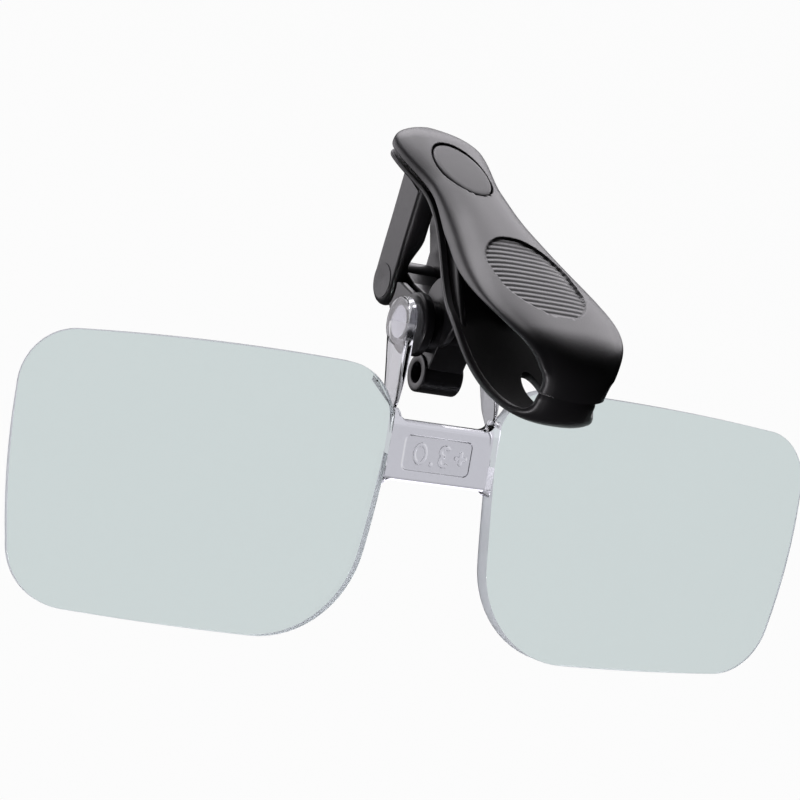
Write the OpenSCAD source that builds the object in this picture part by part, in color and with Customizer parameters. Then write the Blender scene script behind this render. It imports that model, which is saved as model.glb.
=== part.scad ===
// Clip-on hat magnifier: a sprung clip for a hat brim, a two-pivot link and a
// one-piece clear pair of lenses that flips up. Millimetres, +Z up, +Y towards
// the hat. The origin is the middle of the mouth, between the tips of the jaws.
// The clip lies level and the lenses hang in the pose shown, tilted forward.

/* [Jaws] */
// How far the upper jaw's tip reaches past the mouth
tip_reach = 2.8; // [1.5:0.1:4]
// Distance from the mouth back to the front of the nose
nose_reach = 53.7; // [51:0.1:58]
// Half width of the lip, the waist and the thumb pad
lip_half = 6.35; // [5.5:0.05:7.5]
waist_half = 5.05; // [4.9:0.05:6]
pad_half = 8.4; // [7.8:0.1:9]
// Distance from the mouth to the widest line of the lip, to the waist and to the pad
lip_y = 2.3; // [1.5:0.1:4]
waist_y = 13; // [11:0.5:15]
pad_y = 39; // [37:0.5:42]
// Height of the upper jaw's crown above the mouth
crown_z = 2.8; // [2.6:0.1:3.4]
// Depth of the upper jaw's channel: along the lips, round the pivot, before the
// nose, at the tip and down the nose's front
upper_depth = 2.3; // [2.2:0.1:2.6]
pivot_depth = 3.4; // [3.2:0.1:3.6]
rear_depth = 1.55; // [1.5:0.05:2.2]
tip_depth = 1.3; // [1.1:0.1:1.6]
nose_depth = 2.6; // [2.4:0.1:3]
// Wall of the upper jaw
upper_wall = 1.2; // [1.1:0.05:1.25]
// Width of the rim of the jaws' side walls
rim = 1.0; // [0.8:0.05:1.1]
// Drop of the upper jaw's top at its tip
tip_drop = 0.9; // [0.4:0.1:1.2]
// How far down the front of the nose the seam lies below the crown
seam_drop = 5.4; // [5:0.1:5.8]
// Length of the rounded top of the nose
nose_round = 7.4; // [6.5:0.1:8.5]
// Thin edge of the nose that slides down over the lower jaw, and its height
lap_wall = 0.35; // [0.35:0.05:0.5]
lap_height = 2.4; // [2.2:0.1:2.8]
// Gap between the lapping noses, and how far the lower one's edge leans inwards
lap_gap = 0.3; // [0.3:0.05:0.35]
lap_lean = 0.2; // [0.15:0.05:0.3]
// Height of the leaning edge
lean_h = 1.2; // [0.8:0.1:1.5]
// Drop of the lower jaw's underside: lip, middle and nose
lip_bottom = 1.4; // [1.2:0.1:1.7]
mid_bottom = 6.4; // [6:0.1:6.6]
nose_bottom = 8.2; // [7.8:0.1:8.4]
// Where the lower jaw starts and ends its descent
descent_start = 10; // [8:0.5:12]
descent_end = 33; // [31:0.5:36]
// Depth and wall of the lower jaw: lip, middle and curl
lip_plate = 1.2; // [1:0.05:1.3]
mid_plate = 1.6; // [1.4:0.1:2]
curl_depth = 2.7; // [2.4:0.1:2.8]
lower_wall = 1.0; // [0.8:0.05:1.2]
// How much narrower the lower jaw is on each side
lower_inset = 0.2; // [0.15:0.05:0.4]
// Oval window in the floor of the lower jaw, under the nose
window_w = 3.6; // [2.6:0.2:5]
window_l = 7.6; // [6:0.2:8]
window_y = 44.3; // [43.5:0.1:44.6]

/* [Thumb pad and badge] */
// Length and width of the ribbed pad
pad_l = 18; // [14:0.2:18.4]
pad_w = 11.4; // [8:0.2:11.8]
// Distance from the mouth to the middle of the pad
pad_centre = 35; // [33.5:0.1:35.5]
// Number and radius of the pad's ribs
pad_ribs = 17; // [13:1:19]
rib_r = 0.32; // [0.2:0.02:0.36]
// Depth of the pad's floor below the crown
pad_recess = 0.65; // [0.5:0.05:0.7]
// Length and width of the oval badge
badge_l = 12.3; // [9:0.1:13]
badge_w = 6.8; // [5:0.1:7.2]
// Distance from the mouth to the middle of the badge
badge_centre = 8.6; // [8:0.1:10]
// Depth of the badge's recess below the crown
badge_recess = 0.8; // [0.7:0.05:0.9]
// Gap round the badge
badge_gap = 0.15; // [0.1:0.05:0.25]

/* [Jaw pivot and spring] */
// Distance from the mouth to the pivot, and its drop below the mouth
pivot_y = 22; // [20:0.5:24]
pivot_drop = 0.8; // [0.75:0.05:1]
// Radius of the steel pin
pin_r = 0.6; // [0.5:0.05:0.7]
// Radius of the ears and lugs round the pin
lug_r = 1.3; // [1.2:0.05:1.4]
// Thickness of each ear and lug
ear_t = 0.9; // [0.8:0.05:0.95]
// Gap between an ear and its lug, and from an ear to the upper jaw's side wall
side_gap = 0.2; // [0.15:0.05:0.3]
skirt_gap = 0.5; // [0.45:0.05:0.6]
// Running clearance of every pin in its moving bore
running = 0.03; // [0.02:0.01:0.05]
// Length of the ears' sloping front
ear_slope = 12.8; // [10:0.2:14]
// Wire, mean coil radius and number of coils of the torsion spring
spring_wire = 0.45; // [0.3:0.05:0.5]
spring_r = 1.06; // [0.95:0.01:1.08]
spring_coils = 5; // [3:1:6]
// Length of the spring's arms towards the nose, and the lower one's height above the floor
spring_arm = 10; // [7:0.5:11]
arm_clear = 0.75; // [0.7:0.05:1]

/* [Legs and link] */
// Length of the legs from the mouth's level to the link's pivot
leg_drop = 14.7; // [13:0.1:17]
// Distance from the mouth to that pivot
leg_y = 8.9; // [8:0.1:10]
// Distance from the mouth to the back of each leg's root, and the root's width
leg_root_y = 2.6; // [2:0.1:3]
leg_root_w = 6.6; // [5:0.1:7]
// Radius of the legs' round ends
leg_r = 3.1; // [2.8:0.1:3.4]
// Gap between the legs, and the thickness of each
leg_gap = 5.0; // [4.6:0.1:5.6]
leg_t = 1.7; // [1.5:0.1:1.9]
// Radius of the link's pin, and how deep it sits in each leg
link_pin_r = 0.9; // [0.7:0.05:1]
link_pin_seat = 1.1; // [0.9:0.1:1.2]
// Reach and rise from the link's pivot to the lens hinge
link_reach = 12.7; // [12:0.1:14]
link_rise = 1.4; // [0.8:0.1:2]
// Radius and half length of the barrel of the lens hinge
barrel_r = 3.2; // [2.9:0.1:3.4]
barrel_half = 3.6; // [3.2:0.1:3.8]
// Thickness of the link's cheeks
cheek_t = 1.0; // [0.8:0.1:1.2]
// Radius of the two round lobes over the barrel, their rise and their thickness
lobe_r = 4.4; // [3.8:0.1:4.6]
lobe_rise = 2.5; // [2:0.1:2.8]
lobe_t = 0.9; // [0.7:0.05:1.1]
// Gap between the cheeks and the legs' round ends
cheek_gap = 0.5; // [0.4:0.05:0.7]
// Outer radius, bore radius and length of the spare hinge tube
tube_r = 2.4; // [2.2:0.05:2.6]
tube_bore_r = 1.3; // [1:0.05:1.4]
tube_l = 5.5; // [4.5:0.1:7]
// Place of the spare tube below the lens hinge and in front of it
tube_drop = 5.9; // [5.6:0.1:6.2]
tube_front = 1.4; // [0.8:0.1:1.8]

/* [Lens hinge] */
// Radius of the axle and of the friction discs
axle_r = 2.0; // [1.6:0.05:2.1]
disc_r = 3.95; // [3.6:0.05:4.1]
// Thickness of each friction disc and the height of its dome
disc_t = 1.75; // [1.4:0.05:1.9]
disc_dome = 0.5; // [0.2:0.05:0.6]
// Gap between a disc and the arm beside it
arm_gap = 0.25; // [0.2:0.05:0.4]
// Depth of the axle's seat in each arm
arm_seat = 0.75; // [0.6:0.05:0.8]

/* [Lenses] */
// Tilt of the lenses from square to the clip
lens_tilt = 27; // [10:1:35]
// Distance between the middles of the lenses
lens_spacing = 62; // [60:0.5:66]
// Drop from the hinge to the middle of the lenses, and their set forward of it
lens_drop = 22.65; // [22:0.05:24]
lens_front = 5.2; // [4.9:0.1:5.5]
// Width across the top and the bottom of a lens, and the bottom's shift outwards
lens_top_w = 49; // [47:0.5:49.5]
lens_bottom_w = 42.75; // [41:0.05:46]
lens_lean = 0.1; // [0:0.05:0.5]
// Height of a lens at its nasal side, and how far each outer corner falls short
lens_h = 34.75; // [32:0.05:36]
lens_fall = 1.35; // [0.5:0.05:1.5]
// Outward bulge of the top and outer edges, and of the two other edges
wide_bulge = 0.44; // [0:0.02:0.6]
small_bulge = 0.1; // [0:0.02:0.3]
// Radii of the corners: top nasal, top outer, bottom outer, bottom nasal
corner_top_nasal = 7.3; // [6:0.1:8]
corner_top_outer = 7; // [6:0.1:8]
corner_low_outer = 8; // [6:0.1:10]
corner_low_nasal = 13; // [10:0.1:14]
// Radius of the curved front, which sets the power of the lens
front_r = 163; // [160:1:200]
// Thickness of a lens at its optical centre
lens_t = 3.5; // [3.3:0.05:3.7]
// Shift of the optical centre towards the nose
decentre = 5.8; // [4:0.1:6.5]
// Least thickness left at the edge of a lens
edge_t = 0.35; // [0.3:0.05:0.5]

/* [Bridge and arms] */
// Height of the bridge, and its top above the middle of the lenses
bridge_h = 7.5; // [6:0.1:8]
bridge_top = 11.1; // [10.4:0.1:11.4]
// Thickness of the bridge, and the rounding of its front edges
bridge_t = 2.4; // [2:0.1:2.6]
bridge_edge = 0.8; // [0.4:0.05:1]
// Length, height and depth of the recessed panel in the bridge's back
panel_l = 10.0; // [9:0.1:10.4]
panel_h = 4.5; // [3.6:0.1:4.8]
panel_depth = 0.35; // [0.2:0.05:0.4]
// Height of the raised lens power number
digit_h = 2.7; // [2.2:0.1:3]
// Radius of the arms' round bosses, and the thickness of each arm
boss_r = 3.25; // [3.1:0.05:3.5]
arm_t = 1.15; // [1.05:0.05:1.4]
// How far an arm's foot stands from the nasal edge of its lens, towards the middle
foot_overhang = 0.45; // [0.2:0.05:0.8]
// How far the arms' front lies behind the front of the bridge
arm_recess = 1.1; // [0.6:0.1:1.4]
// How far the arms stand behind the lenses at the foot
arm_back = 1.4; // [1:0.1:2]
// Reach of the web beside each arm along the top of its lens, and its height
web_l = 3.6; // [2.6:0.1:4.2]
web_h = 1.5; // [1:0.1:2]

/* [Hidden] */
$fn = 64;
eps = 0.01;

// Places of the three pivots, as [y, z]
jaw_pivot = [-pivot_y, -pivot_drop];
link_pivot = [-leg_y, -leg_drop];
lens_pivot = link_pivot + [-link_reach, link_rise];
// Exponents of the rounded sections, along the jaws and at the front, and of the
// side line of the upper and the lower nose
squareness = 2.8;
front_squareness = 1.9;
nose_power = 2.4;
curl_power = 2.6;
seam_z = crown_z - seam_drop;
// Stations along a jaw and points round a section
tip_steps = 7;
top_steps = 11;
nose_steps = 12;
half_points = 7;

dark = [0.33, 0.32, 0.34];
darker = [0.24, 0.23, 0.25];
steel = [0.66, 0.66, 0.68];
clear_plastic = [0.82, 0.86, 0.86, 0.5];

function ease(t) = let (u = min(max(t, 0), 1)) u * u * (3 - 2 * u);
function mix(a, b, t) = a + (b - a) * t;
function rounded(t, power) = pow(max(1 - pow(min(max(t, 0), 1), power), 0), 1 / power);

// Half width of the clip in plan, at a distance back from the mouth, set in all
// round by an inset; the nose is half an ellipse
function plan_half(back, inset = 0) = back > pad_y
    ? (pad_half - inset) * rounded((back - pad_y) / (nose_reach - inset - pad_y), 2)
    : -inset + (
    back < lip_y ? lip_half * rounded((lip_y - back) / (lip_y + tip_reach), 2) :
    back < waist_y ? mix(lip_half, waist_half, ease((back - lip_y) / (waist_y - lip_y))) :
    mix(waist_half, pad_half, ease((back - waist_y) / (pad_y - waist_y))));

// One section of a jaw: a rounded channel of half width w and depth d, its
// wall and rim given, as [x, depth] points, round the outside and back inside
function bow(u, w, d, power) = let (t = 1 - pow(1 - abs(u), 1.6))
    [w * sign(u) * t, d * (1 - rounded(t, power))];
function channel(w, d, wall, edge, power) = concat(
    [for (i = [-half_points : half_points]) bow(i / half_points, w, d, power)],
    [for (i = [half_points : -1 : -half_points])
        let (p = bow(i / half_points, w - edge, d - wall, power)) [p[0], p[1] + wall]]);

// A solid through rings of points that all have the same number of points
module skin(rings) {
    n = len(rings[0]);
    m = len(rings);
    side = [for (j = [0 : m - 2], i = [0 : n - 1])
        let (a = j * n + i, b = j * n + (i + 1) % n) each [[a, b, b + n], [a, b + n, a + n]]];
    half = n / 2;
    cap = [for (i = [0 : half - 2]) each [[i, n - 1 - i, i + 1], [i + 1, n - 1 - i, n - 2 - i]]];
    first = [for (f = cap) [f[0], f[1], f[2]]];
    last = [for (f = cap) [for (k = [2, 1, 0]) f[k] + (m - 1) * n]];
    polyhedron([for (r = rings, p = r) p], concat(side, first, last));
}

// Unit normal of a path at a point, turned to the side that the jaw's inside is on
function inward(path, i, turn) =
    let (a = path[max(i - 1, 0)], b = path[min(i + 1, len(path) - 1)], t = (b - a) / norm(b - a))
    turn * [-t[1], t[0]];
function ring(path, i, turn, section) =
    let (p = path[i], v = inward(path, i, turn))
    [for (q = section) [q[0], p[0] + v[0] * q[1], p[1] + v[1] * q[1]]];

// Outer line of the upper jaw, from the tip over the crown to the seam
function upper_top(y) = crown_z - tip_drop * pow(max(y + lip_y, 0) / (lip_y + tip_reach), 2);
turn_y = -(nose_reach - nose_round);
upper_path = concat(
    [for (i = [0 : tip_steps - 1]) let (y = mix(tip_reach - 0.05, -lip_y, pow(i / tip_steps, 1.4)))
        [y, upper_top(y)]],
    [for (i = [0 : top_steps - 1]) [mix(-lip_y, turn_y, i / top_steps), crown_z]],
    [for (i = [0 : nose_steps]) let (a = 90 * i / nose_steps)
        [turn_y - nose_round * pow(sin(a), 2 / nose_power),
         seam_z + seam_drop * pow(cos(a), 2 / nose_power)]]);
first_turn = tip_steps + top_steps;
upper_last = len(upper_path) - 1;

// Share of the turn from the level part of a jaw into its nose
function turned(i, first) = ease((i - first) / nose_steps);
function front_power(i, first) = mix(squareness, front_squareness, turned(i, first));
// Distance of a section's free edge back from the mouth
function edge_back(path, i, turn, deep) = -(path[i][0] + inward(path, i, turn)[0] * deep);
function skirt_depth(back) = mix(mix(upper_depth, pivot_depth, ease((back - pivot_y + 5) / 5)),
                                 rear_depth, ease((back - pivot_y - 5) / 18));
function upper_deep(i) = i < tip_steps ? mix(tip_depth, upper_depth, ease(i / tip_steps))
    : i < first_turn ? skirt_depth(-upper_path[i][0])
    : mix(rear_depth, nose_depth, turned(i, first_turn));
function upper_half(i) = i < tip_steps ? plan_half(-upper_path[i][0])
    : plan_half(edge_back(upper_path, i, 1, upper_deep(i)));
// Under the lip the channel is only a shallow hollow; below the lap it thins
lip_hollow = 0.2;
function lapped(i) = ease((seam_z + lap_height + 1 - upper_path[i][1]) / 1);
function upper_skin_wall(i) = i < tip_steps + 2 ? upper_deep(i) - lip_hollow
    : mix(mix(upper_deep(i) - lip_hollow, upper_wall, ease((i - tip_steps - 1) / 2)),
          lap_wall, lapped(i));
function upper_edge(i) = mix(min(rim, upper_half(i) * 0.45), lap_wall, lapped(i));

// Outer line of the lower jaw, from its lip along the underside to the seam
lap_inset = lap_wall + lap_gap;
curl_top = seam_z - 0.3;
curl_side = curl_top - lean_h;
curl_round = nose_round - 1.4;
curl_y = -(nose_reach - lap_inset - curl_round);
function lower_bottom(back) = -mix(lip_bottom, mid_bottom,
    ease((back - descent_start) / (descent_end - descent_start)))
    - (nose_bottom - mid_bottom) * ease((back - descent_end) / (-curl_y - descent_end));
lower_tip = 0.4;
lower_steps = 16;
lower_path = concat(
    [for (i = [0 : tip_steps - 1]) let (y = mix(lower_tip, -lip_y, pow(i / tip_steps, 1.4)))
        [y, lower_bottom(-y)]],
    [for (i = [0 : lower_steps - 1]) let (y = mix(-lip_y, curl_y, i / lower_steps))
        [y, lower_bottom(-y)]],
    [for (i = [0 : nose_steps]) let (a = 90 * i / nose_steps)
        [curl_y - curl_round * pow(sin(a), 2 / curl_power),
         curl_side - (nose_bottom + curl_side) * pow(cos(a), 2 / curl_power)]],
    [for (t = [0.5, 1]) [curl_y - curl_round + lap_lean * t * t, mix(curl_side, curl_top, t)]]);
first_curl = tip_steps + lower_steps;
function lower_deep(i) = let (back = -lower_path[i][0])
    i > first_curl ? mix(mid_plate, curl_depth, ease((i - first_curl) / 5))
    : mix(lip_plate, mid_plate, ease((back - descent_start) / (descent_end - descent_start)));
function lower_half(i) = let (back = -lower_path[i][0])
    i < tip_steps ? (lip_half - lower_inset) * rounded((lip_y - back) / (lip_y + lower_tip + 0.02), 2.4)
    : plan_half(edge_back(lower_path, i, -1, lower_deep(i)),
                mix(lower_inset, lap_inset, ease((i - first_curl - nose_steps + 6) / 5))
                + lap_lean * pow(max(i - first_curl - nose_steps, 0) / 2, 2));
function lower_skin_wall(i) = let (back = -lower_path[i][0])
    i > first_curl ? lower_wall
    : mix(lower_deep(i) - lip_hollow, lower_wall, ease((back - descent_start) / 6));

module ellipse_prism(l, w, y, z0, z1) {
    translate([0, y, z0])
        linear_extrude(z1 - z0)
            polygon([for (i = [0 : 47]) [w / 2 * cos(i * 7.5), l / 2 * sin(i * 7.5)]]);
}

// A plate in the plane of the side view, from x0 to x1
module side_plate(x0, x1) {
    translate([x0, 0, 0]) rotate([90, 0, 90]) linear_extrude(x1 - x0) children();
}
module pair() { children(); mirror([1, 0, 0]) children(); }
module rod(r, x0, x1, at) {
    translate([x0, at[0], at[1]]) rotate([0, 90, 0]) cylinder(r = r, h = x1 - x0);
}

// An ear stands inside the side wall; a lug clears the ear's narrower front end
ear_inset = rim + skirt_gap;
ear_outer = plan_half(pivot_y) - ear_inset;
lug_outer = plan_half(pivot_y - lug_r) - ear_inset - ear_t - side_gap;
lug_inner = lug_outer - ear_t;
under_crown = crown_z - upper_wall;
badge_floor = crown_z - badge_recess;
pad_floor = crown_z - pad_recess;
rib_pitch = pad_l / pad_ribs;

module upper_jaw() {
    color(dark) difference() {
        union() {
            skin([for (i = [0 : upper_last]) ring(upper_path, i, 1,
                channel(upper_half(i), upper_deep(i), upper_skin_wall(i), upper_edge(i),
                        front_power(i, first_turn)))]);
            pair() side_plate(lug_inner, lug_outer) union() {
                translate(jaw_pivot) circle(lug_r);
                translate([-pivot_y - lug_r, -pivot_drop])
                    square([2 * lug_r, under_crown + pivot_drop + 0.3]);
            }
        }
        difference() {
            ellipse_prism(pad_l, pad_w, -pad_centre, pad_floor, crown_z + 1);
            for (i = [0 : pad_ribs - 1])
                rod(rib_r, -pad_w, pad_w,
                    [-pad_centre - pad_l / 2 + (i + 0.5) * rib_pitch, pad_floor + 0.03]);
        }
        ellipse_prism(badge_l, badge_w, -badge_centre, badge_floor, crown_z + 1);
        pair() rod(pin_r + running, lug_inner - 0.5, lug_outer + 0.1, jaw_pivot);
    }
}

badge_top = crown_z - 0.12;
badge_edge = 0.35;
module badge_layer(inset, top) {
    ellipse_prism(badge_l - 2 * inset, badge_w - 2 * inset, -badge_centre, badge_floor, top);
}
module badge() {
    color(dark) union() {
        badge_layer(badge_gap, badge_top - 0.25);
        badge_layer(badge_gap + badge_edge, badge_top);
    }
}

// Side outline of an ear: up the slope from the floor, round the pin, and down
module ear_side() {
    foot = -pivot_y - ear_slope;
    heel = -pivot_y + lug_r + 1;
    shoulder = lug_r * 0.7;
    polygon([[foot, lower_bottom(-foot) + 0.4], [foot, lower_bottom(-foot) + mid_plate + 0.1],
             [-pivot_y - lug_r - 0.2, -pivot_drop - 0.6], jaw_pivot + [-shoulder, shoulder],
             jaw_pivot + [shoulder, shoulder], [heel, lower_bottom(-heel) + lower_wall],
             [heel, lower_bottom(-heel) + 0.4]]);
    translate(jaw_pivot) circle(lug_r);
}
// Plan of an ear: a strip that follows the clip's outline, inside the upper jaw
module ear_plan() {
    ys = [for (i = [0 : 8]) pivot_y - lug_r - 1.2 + i * (ear_slope + lug_r + 1.4) / 8];
    polygon(concat([for (b = ys) [plan_half(b) - ear_inset, -b]],
                   [for (i = [8 : -1 : 0]) [plan_half(ys[i]) - ear_inset - ear_t, -ys[i]]]));
}

leg_inner = leg_gap / 2;
leg_outer = leg_inner + leg_t;
module leg_side() {
    translate(link_pivot) circle(leg_r);
    polygon([[-leg_root_y, -lip_bottom + 0.5], link_pivot + [leg_r, 0], link_pivot - [leg_r, 0],
             [-leg_root_y - leg_root_w, -lip_bottom + 0.5]]);
}

module lower_jaw() {
    color(dark) difference() {
        union() {
            skin([for (i = [0 : len(lower_path) - 1])
                let (edge = min(rim, lower_half(i) * 0.45),
                     section = channel(lower_half(i), lower_deep(i), lower_skin_wall(i), edge,
                                       front_power(i, first_curl)))
                ring(lower_path, i, -1, [for (q = section) [-q[0], q[1]]])]);
            pair() intersection() {
                side_plate(0, pad_half) ear_side();
                translate([0, 0, -mid_bottom - 1]) linear_extrude(mid_bottom + crown_z) ear_plan();
            }
            pair() side_plate(leg_inner, leg_outer) leg_side();
        }
        rod(pin_r, -pad_half, pad_half, jaw_pivot);
        pair() rod(link_pin_r, leg_inner - eps, leg_inner + link_pin_seat, link_pivot);
        ellipse_prism(window_l, window_w, -window_y, -nose_bottom - 1, mid_plate - mid_bottom + 0.6);
    }
}

module jaw_pin() { color(steel) rod(pin_r, -ear_outer, ear_outer, jaw_pivot); }

// Torsion spring: a helix round the pin with one arm under the crown and one
// on the floor, swept as one tube with wire_sides sides
wire_sides = 6;
coil_steps = 12;
spring_half = lug_inner - spring_wire / 2 - 0.1;
arm_rise = atan2(under_crown - spring_wire / 2 - 0.15 + pivot_drop - spring_r, spring_arm);
floor_y = jaw_pivot[0] - spring_arm;
arm_end_z = lower_bottom(-floor_y) + lower_wall + spring_wire / 2 + arm_clear;
arm_fall = atan2(-pivot_drop - spring_r - arm_end_z, spring_arm);
function coil_point(t, a) = [mix(-spring_half, spring_half, t),
    jaw_pivot[0] + spring_r * cos(a), jaw_pivot[1] + spring_r * sin(a)];
// The coil starts at its top, where the upper arm leaves, and ends at its bottom
sweep_start = 90 + arm_rise;
sweep_end = sweep_start - 360 * spring_coils - 180 - arm_rise + arm_fall;
coil_rings = spring_coils * coil_steps + 6;
coil = [for (i = [0 : coil_rings])
    let (t = i / coil_rings) coil_point(t, mix(sweep_start, sweep_end, t))];
upper_arm = coil[0] + [0, -spring_arm * cos(arm_rise), spring_arm * sin(arm_rise)];
lower_arm = coil[coil_rings] + [0, -spring_arm * cos(arm_fall), -spring_arm * sin(arm_fall)];
spring_path = concat([upper_arm], coil, [lower_arm]);
function unit(v) = v / norm(v);
module wire(path, r) {
    n = len(path);
    rings = [for (i = [0 : n - 1])
        let (t = unit(path[min(i + 1, n - 1)] - path[max(i - 1, 0)]), u = unit(cross(t, [1, 0, 0])),
             v = cross(t, u))
        [for (k = [0 : wire_sides - 1]) let (a = k * 360 / wire_sides)
            path[i] + r * (cos(a) * u + sin(a) * v)]];
    side = [for (j = [0 : n - 2], k = [0 : wire_sides - 1])
        let (a = j * wire_sides + k, b = j * wire_sides + (k + 1) % wire_sides)
        each [[a, b + wire_sides, b], [a, a + wire_sides, b + wire_sides]]];
    polyhedron([for (q = rings, p = q) p], concat(side,
        [[for (k = [0 : wire_sides - 1]) k]],
        [[for (k = [wire_sides - 1 : -1 : 0]) (n - 1) * wire_sides + k]]));
}
module jaw_spring() { color(steel) wire(spring_path, spring_wire / 2); }

// Side outline of the link's body, from its knuckle to its barrel
module link_body() {
    hull() {
        translate(link_pivot) circle(leg_r - 0.7, $fn = 32);
        translate(link_pivot + [-4.2, 0.2]) circle(2.2, $fn = 32);
    }
    hull() {
        translate(link_pivot + [-4.2, 0.2]) circle(2.2, $fn = 32);
        translate(lens_pivot) circle(barrel_r - 0.5, $fn = 32);
    }
}
tube_centre = lens_pivot - [tube_front, tube_drop];
cheek_face = leg_outer - 0.2;
knuckle_half = leg_inner - side_gap;
module hinge_link() {
    color(darker) difference() {
        union() {
            rod(leg_r - 0.3, -knuckle_half, knuckle_half, link_pivot);
            side_plate(0.1 - knuckle_half, knuckle_half - 0.1) link_body();
            pair() side_plate(leg_inner - lobe_t, leg_inner) hull() {
                translate(lens_pivot + [-0.4, lobe_rise]) circle(lobe_r, $fn = 48);
                translate(lens_pivot) circle(barrel_r - 0.3, $fn = 32);
            }
            pair() side_plate(cheek_face - cheek_t, cheek_face) difference() {
                hull() {
                    translate(link_pivot + [-leg_r - 1.6, 0.3]) circle(2.1, $fn = 32);
                    translate(lens_pivot) circle(barrel_r - 0.8, $fn = 32);
                }
                translate(link_pivot) circle(leg_r + cheek_gap);
            }
            rod(barrel_r, -barrel_half, barrel_half, lens_pivot);
            rod(tube_r, -tube_l / 2, tube_l / 2, tube_centre);
            side_plate(0.3 - tube_l / 2, tube_l / 2 - 0.3)
                translate([tube_centre[0] - tube_r * 0.75, tube_centre[1]])
                    square([tube_r * 1.6 + tube_front, tube_drop - 0.4]);
        }
        rod(link_pin_r + running, -leg_inner, leg_inner, link_pivot);
        rod(axle_r, -disc_face, disc_face, lens_pivot);
        rod(tube_bore_r, -tube_l, tube_l, tube_centre);
    }
}

module link_pin() {
    color(steel) rod(link_pin_r, -leg_inner - link_pin_seat, leg_inner + link_pin_seat, link_pivot);
}

disc_x = max(barrel_half, cheek_face) + 0.02;
disc_face = disc_x + disc_t;
arm_inner = disc_face + arm_gap;
arm_outer = arm_inner + arm_t;
module lens_axle() {
    color(steel) rod(axle_r, -arm_inner - arm_seat + 0.1, arm_inner + arm_seat - 0.1, lens_pivot);
}

module friction_disc() {
    color(dark) translate([disc_x, lens_pivot[0], lens_pivot[1]]) rotate([0, 90, 0])
        rotate_extrude()
            polygon(concat(
                [[axle_r, 0], [disc_r - 0.2, 0], [disc_r, 0.2], [disc_r, disc_t - disc_dome - 0.2]],
                [for (i = [1 : 6]) [disc_r - 0.25 - (disc_r - 0.25 - axle_r) * (1 - cos(i * 15)),
                                    disc_t - disc_dome + disc_dome * sin(i * 15)]]));
}

// The lens piece is drawn in its own plane, with the hinge at the origin, and
// then tilted about the hinge
module in_lens_plane() {
    translate([0, lens_pivot[0], lens_pivot[1]]) rotate([-lens_tilt, 0, 0]) children();
}
// A polygon's corner turned into an arc of radius r
function corner(a, c, b, r) =
    let (u = unit(a - c), v = unit(b - c), half = acos(u * v) / 2,
         centre = c + unit(u + v) * r / sin(half), from = c + u * r / tan(half) - centre,
         to = c + v * r / tan(half) - centre, a0 = atan2(from[1], from[0]),
         turn = ((atan2(to[1], to[0]) - a0 + 540) % 360) - 180)
    [for (i = [0 : 12]) centre + r * [cos(a0 + turn * i / 12), sin(a0 + turn * i / 12)]];
function round_corners(p, r) = [for (i = [0 : len(p) - 1])
    each corner(p[(i + len(p) - 1) % len(p)], p[i], p[(i + 1) % len(p)], r[i])];
// The straight part of a side, bulged outwards, between two rounded corners
function bulge(a, b, s) = let (n = [a[1] - b[1], b[0] - a[0]] / norm(b - a))
    [for (t = [0.2 : 0.2 : 0.8]) mix(a, b, t) + n * s * 4 * t * (1 - t)];
lens_x = lens_spacing / 2;
lens_points = [[lens_x - lens_top_w / 2, lens_h / 2],
               [lens_x + lens_top_w / 2, lens_h / 2 - lens_fall],
               [lens_x + lens_lean + lens_bottom_w / 2, -lens_h / 2 + lens_fall],
               [lens_x + lens_lean - lens_bottom_w / 2, -lens_h / 2]];
lens_corners = [corner_top_nasal, corner_top_outer, corner_low_outer, corner_low_nasal];
lens_bulges = [wide_bulge, wide_bulge, small_bulge, small_bulge];
lens_outline = let (p = lens_points,
    arcs = [for (i = [0 : 3]) corner(p[(i + 3) % 4], p[i], p[(i + 1) % 4], lens_corners[i])])
    [for (i = [0 : 3]) each concat(arcs[i], bulge(arcs[i][12], arcs[(i + 1) % 4][0], lens_bulges[i]))];
lens_back = -lens_front + lens_t;
bridge_front = lens_back - bridge_t;
module front_plane(y0, y1) {
    translate([0, y1, -lens_drop]) rotate([90, 0, 0]) linear_extrude(y1 - y0) children();
}

// Thickness of the lens at a distance from its optical centre
function lens_depth(d) = max(lens_t - front_r + sqrt(front_r * front_r - d * d), edge_t);
cap_r = lens_top_w / 2 + decentre + 5;
cap_steps = 16;
module one_lens() {
    intersection() {
        front_plane(-lens_front - 0.1, lens_back) polygon(lens_outline);
        translate([lens_x - decentre, lens_back, -lens_drop]) rotate([90, 0, 0])
            rotate_extrude($fn = 96)
                polygon(concat([[0, 0], [cap_r, 0]],
                    [for (i = [cap_steps : -1 : 0]) let (d = cap_r * i / cap_steps) [d, lens_depth(d)]]));
    }
}

// Half outline of the bridge, with its fillets into the lenses
nasal_top = lens_x - lens_top_w / 2;
nasal_low = lens_x + lens_lean - lens_bottom_w / 2;
function nasal(z) = mix(nasal_low, nasal_top, (z + lens_h / 2) / lens_h);
bridge_low = bridge_top - bridge_h;
fillet = 1.6;
// Corners of a shape as wide as the gap between the lenses, at two heights
function between(half_0, z0, half_1, z1) = [[-half_0, z0], [half_0, z0], [half_1, z1], [-half_1, z1]];
module bridge_outline() {
    top_half = nasal(bridge_top);
    low_half = nasal(bridge_low);
    difference() {
        polygon(between(top_half + 1.2, bridge_top + fillet, low_half + 1.2, bridge_low - fillet));
        polygon(round_corners(between(top_half + 0.3, bridge_top, nasal_top + 0.3, lens_h),
                              [fillet, fillet, 0.5, 0.5]));
        polygon(round_corners(between(low_half + 0.3, bridge_low, nasal_low + 3, -lens_h),
                              [fillet, fillet, 0.5, 0.5]));
    }
}

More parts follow.
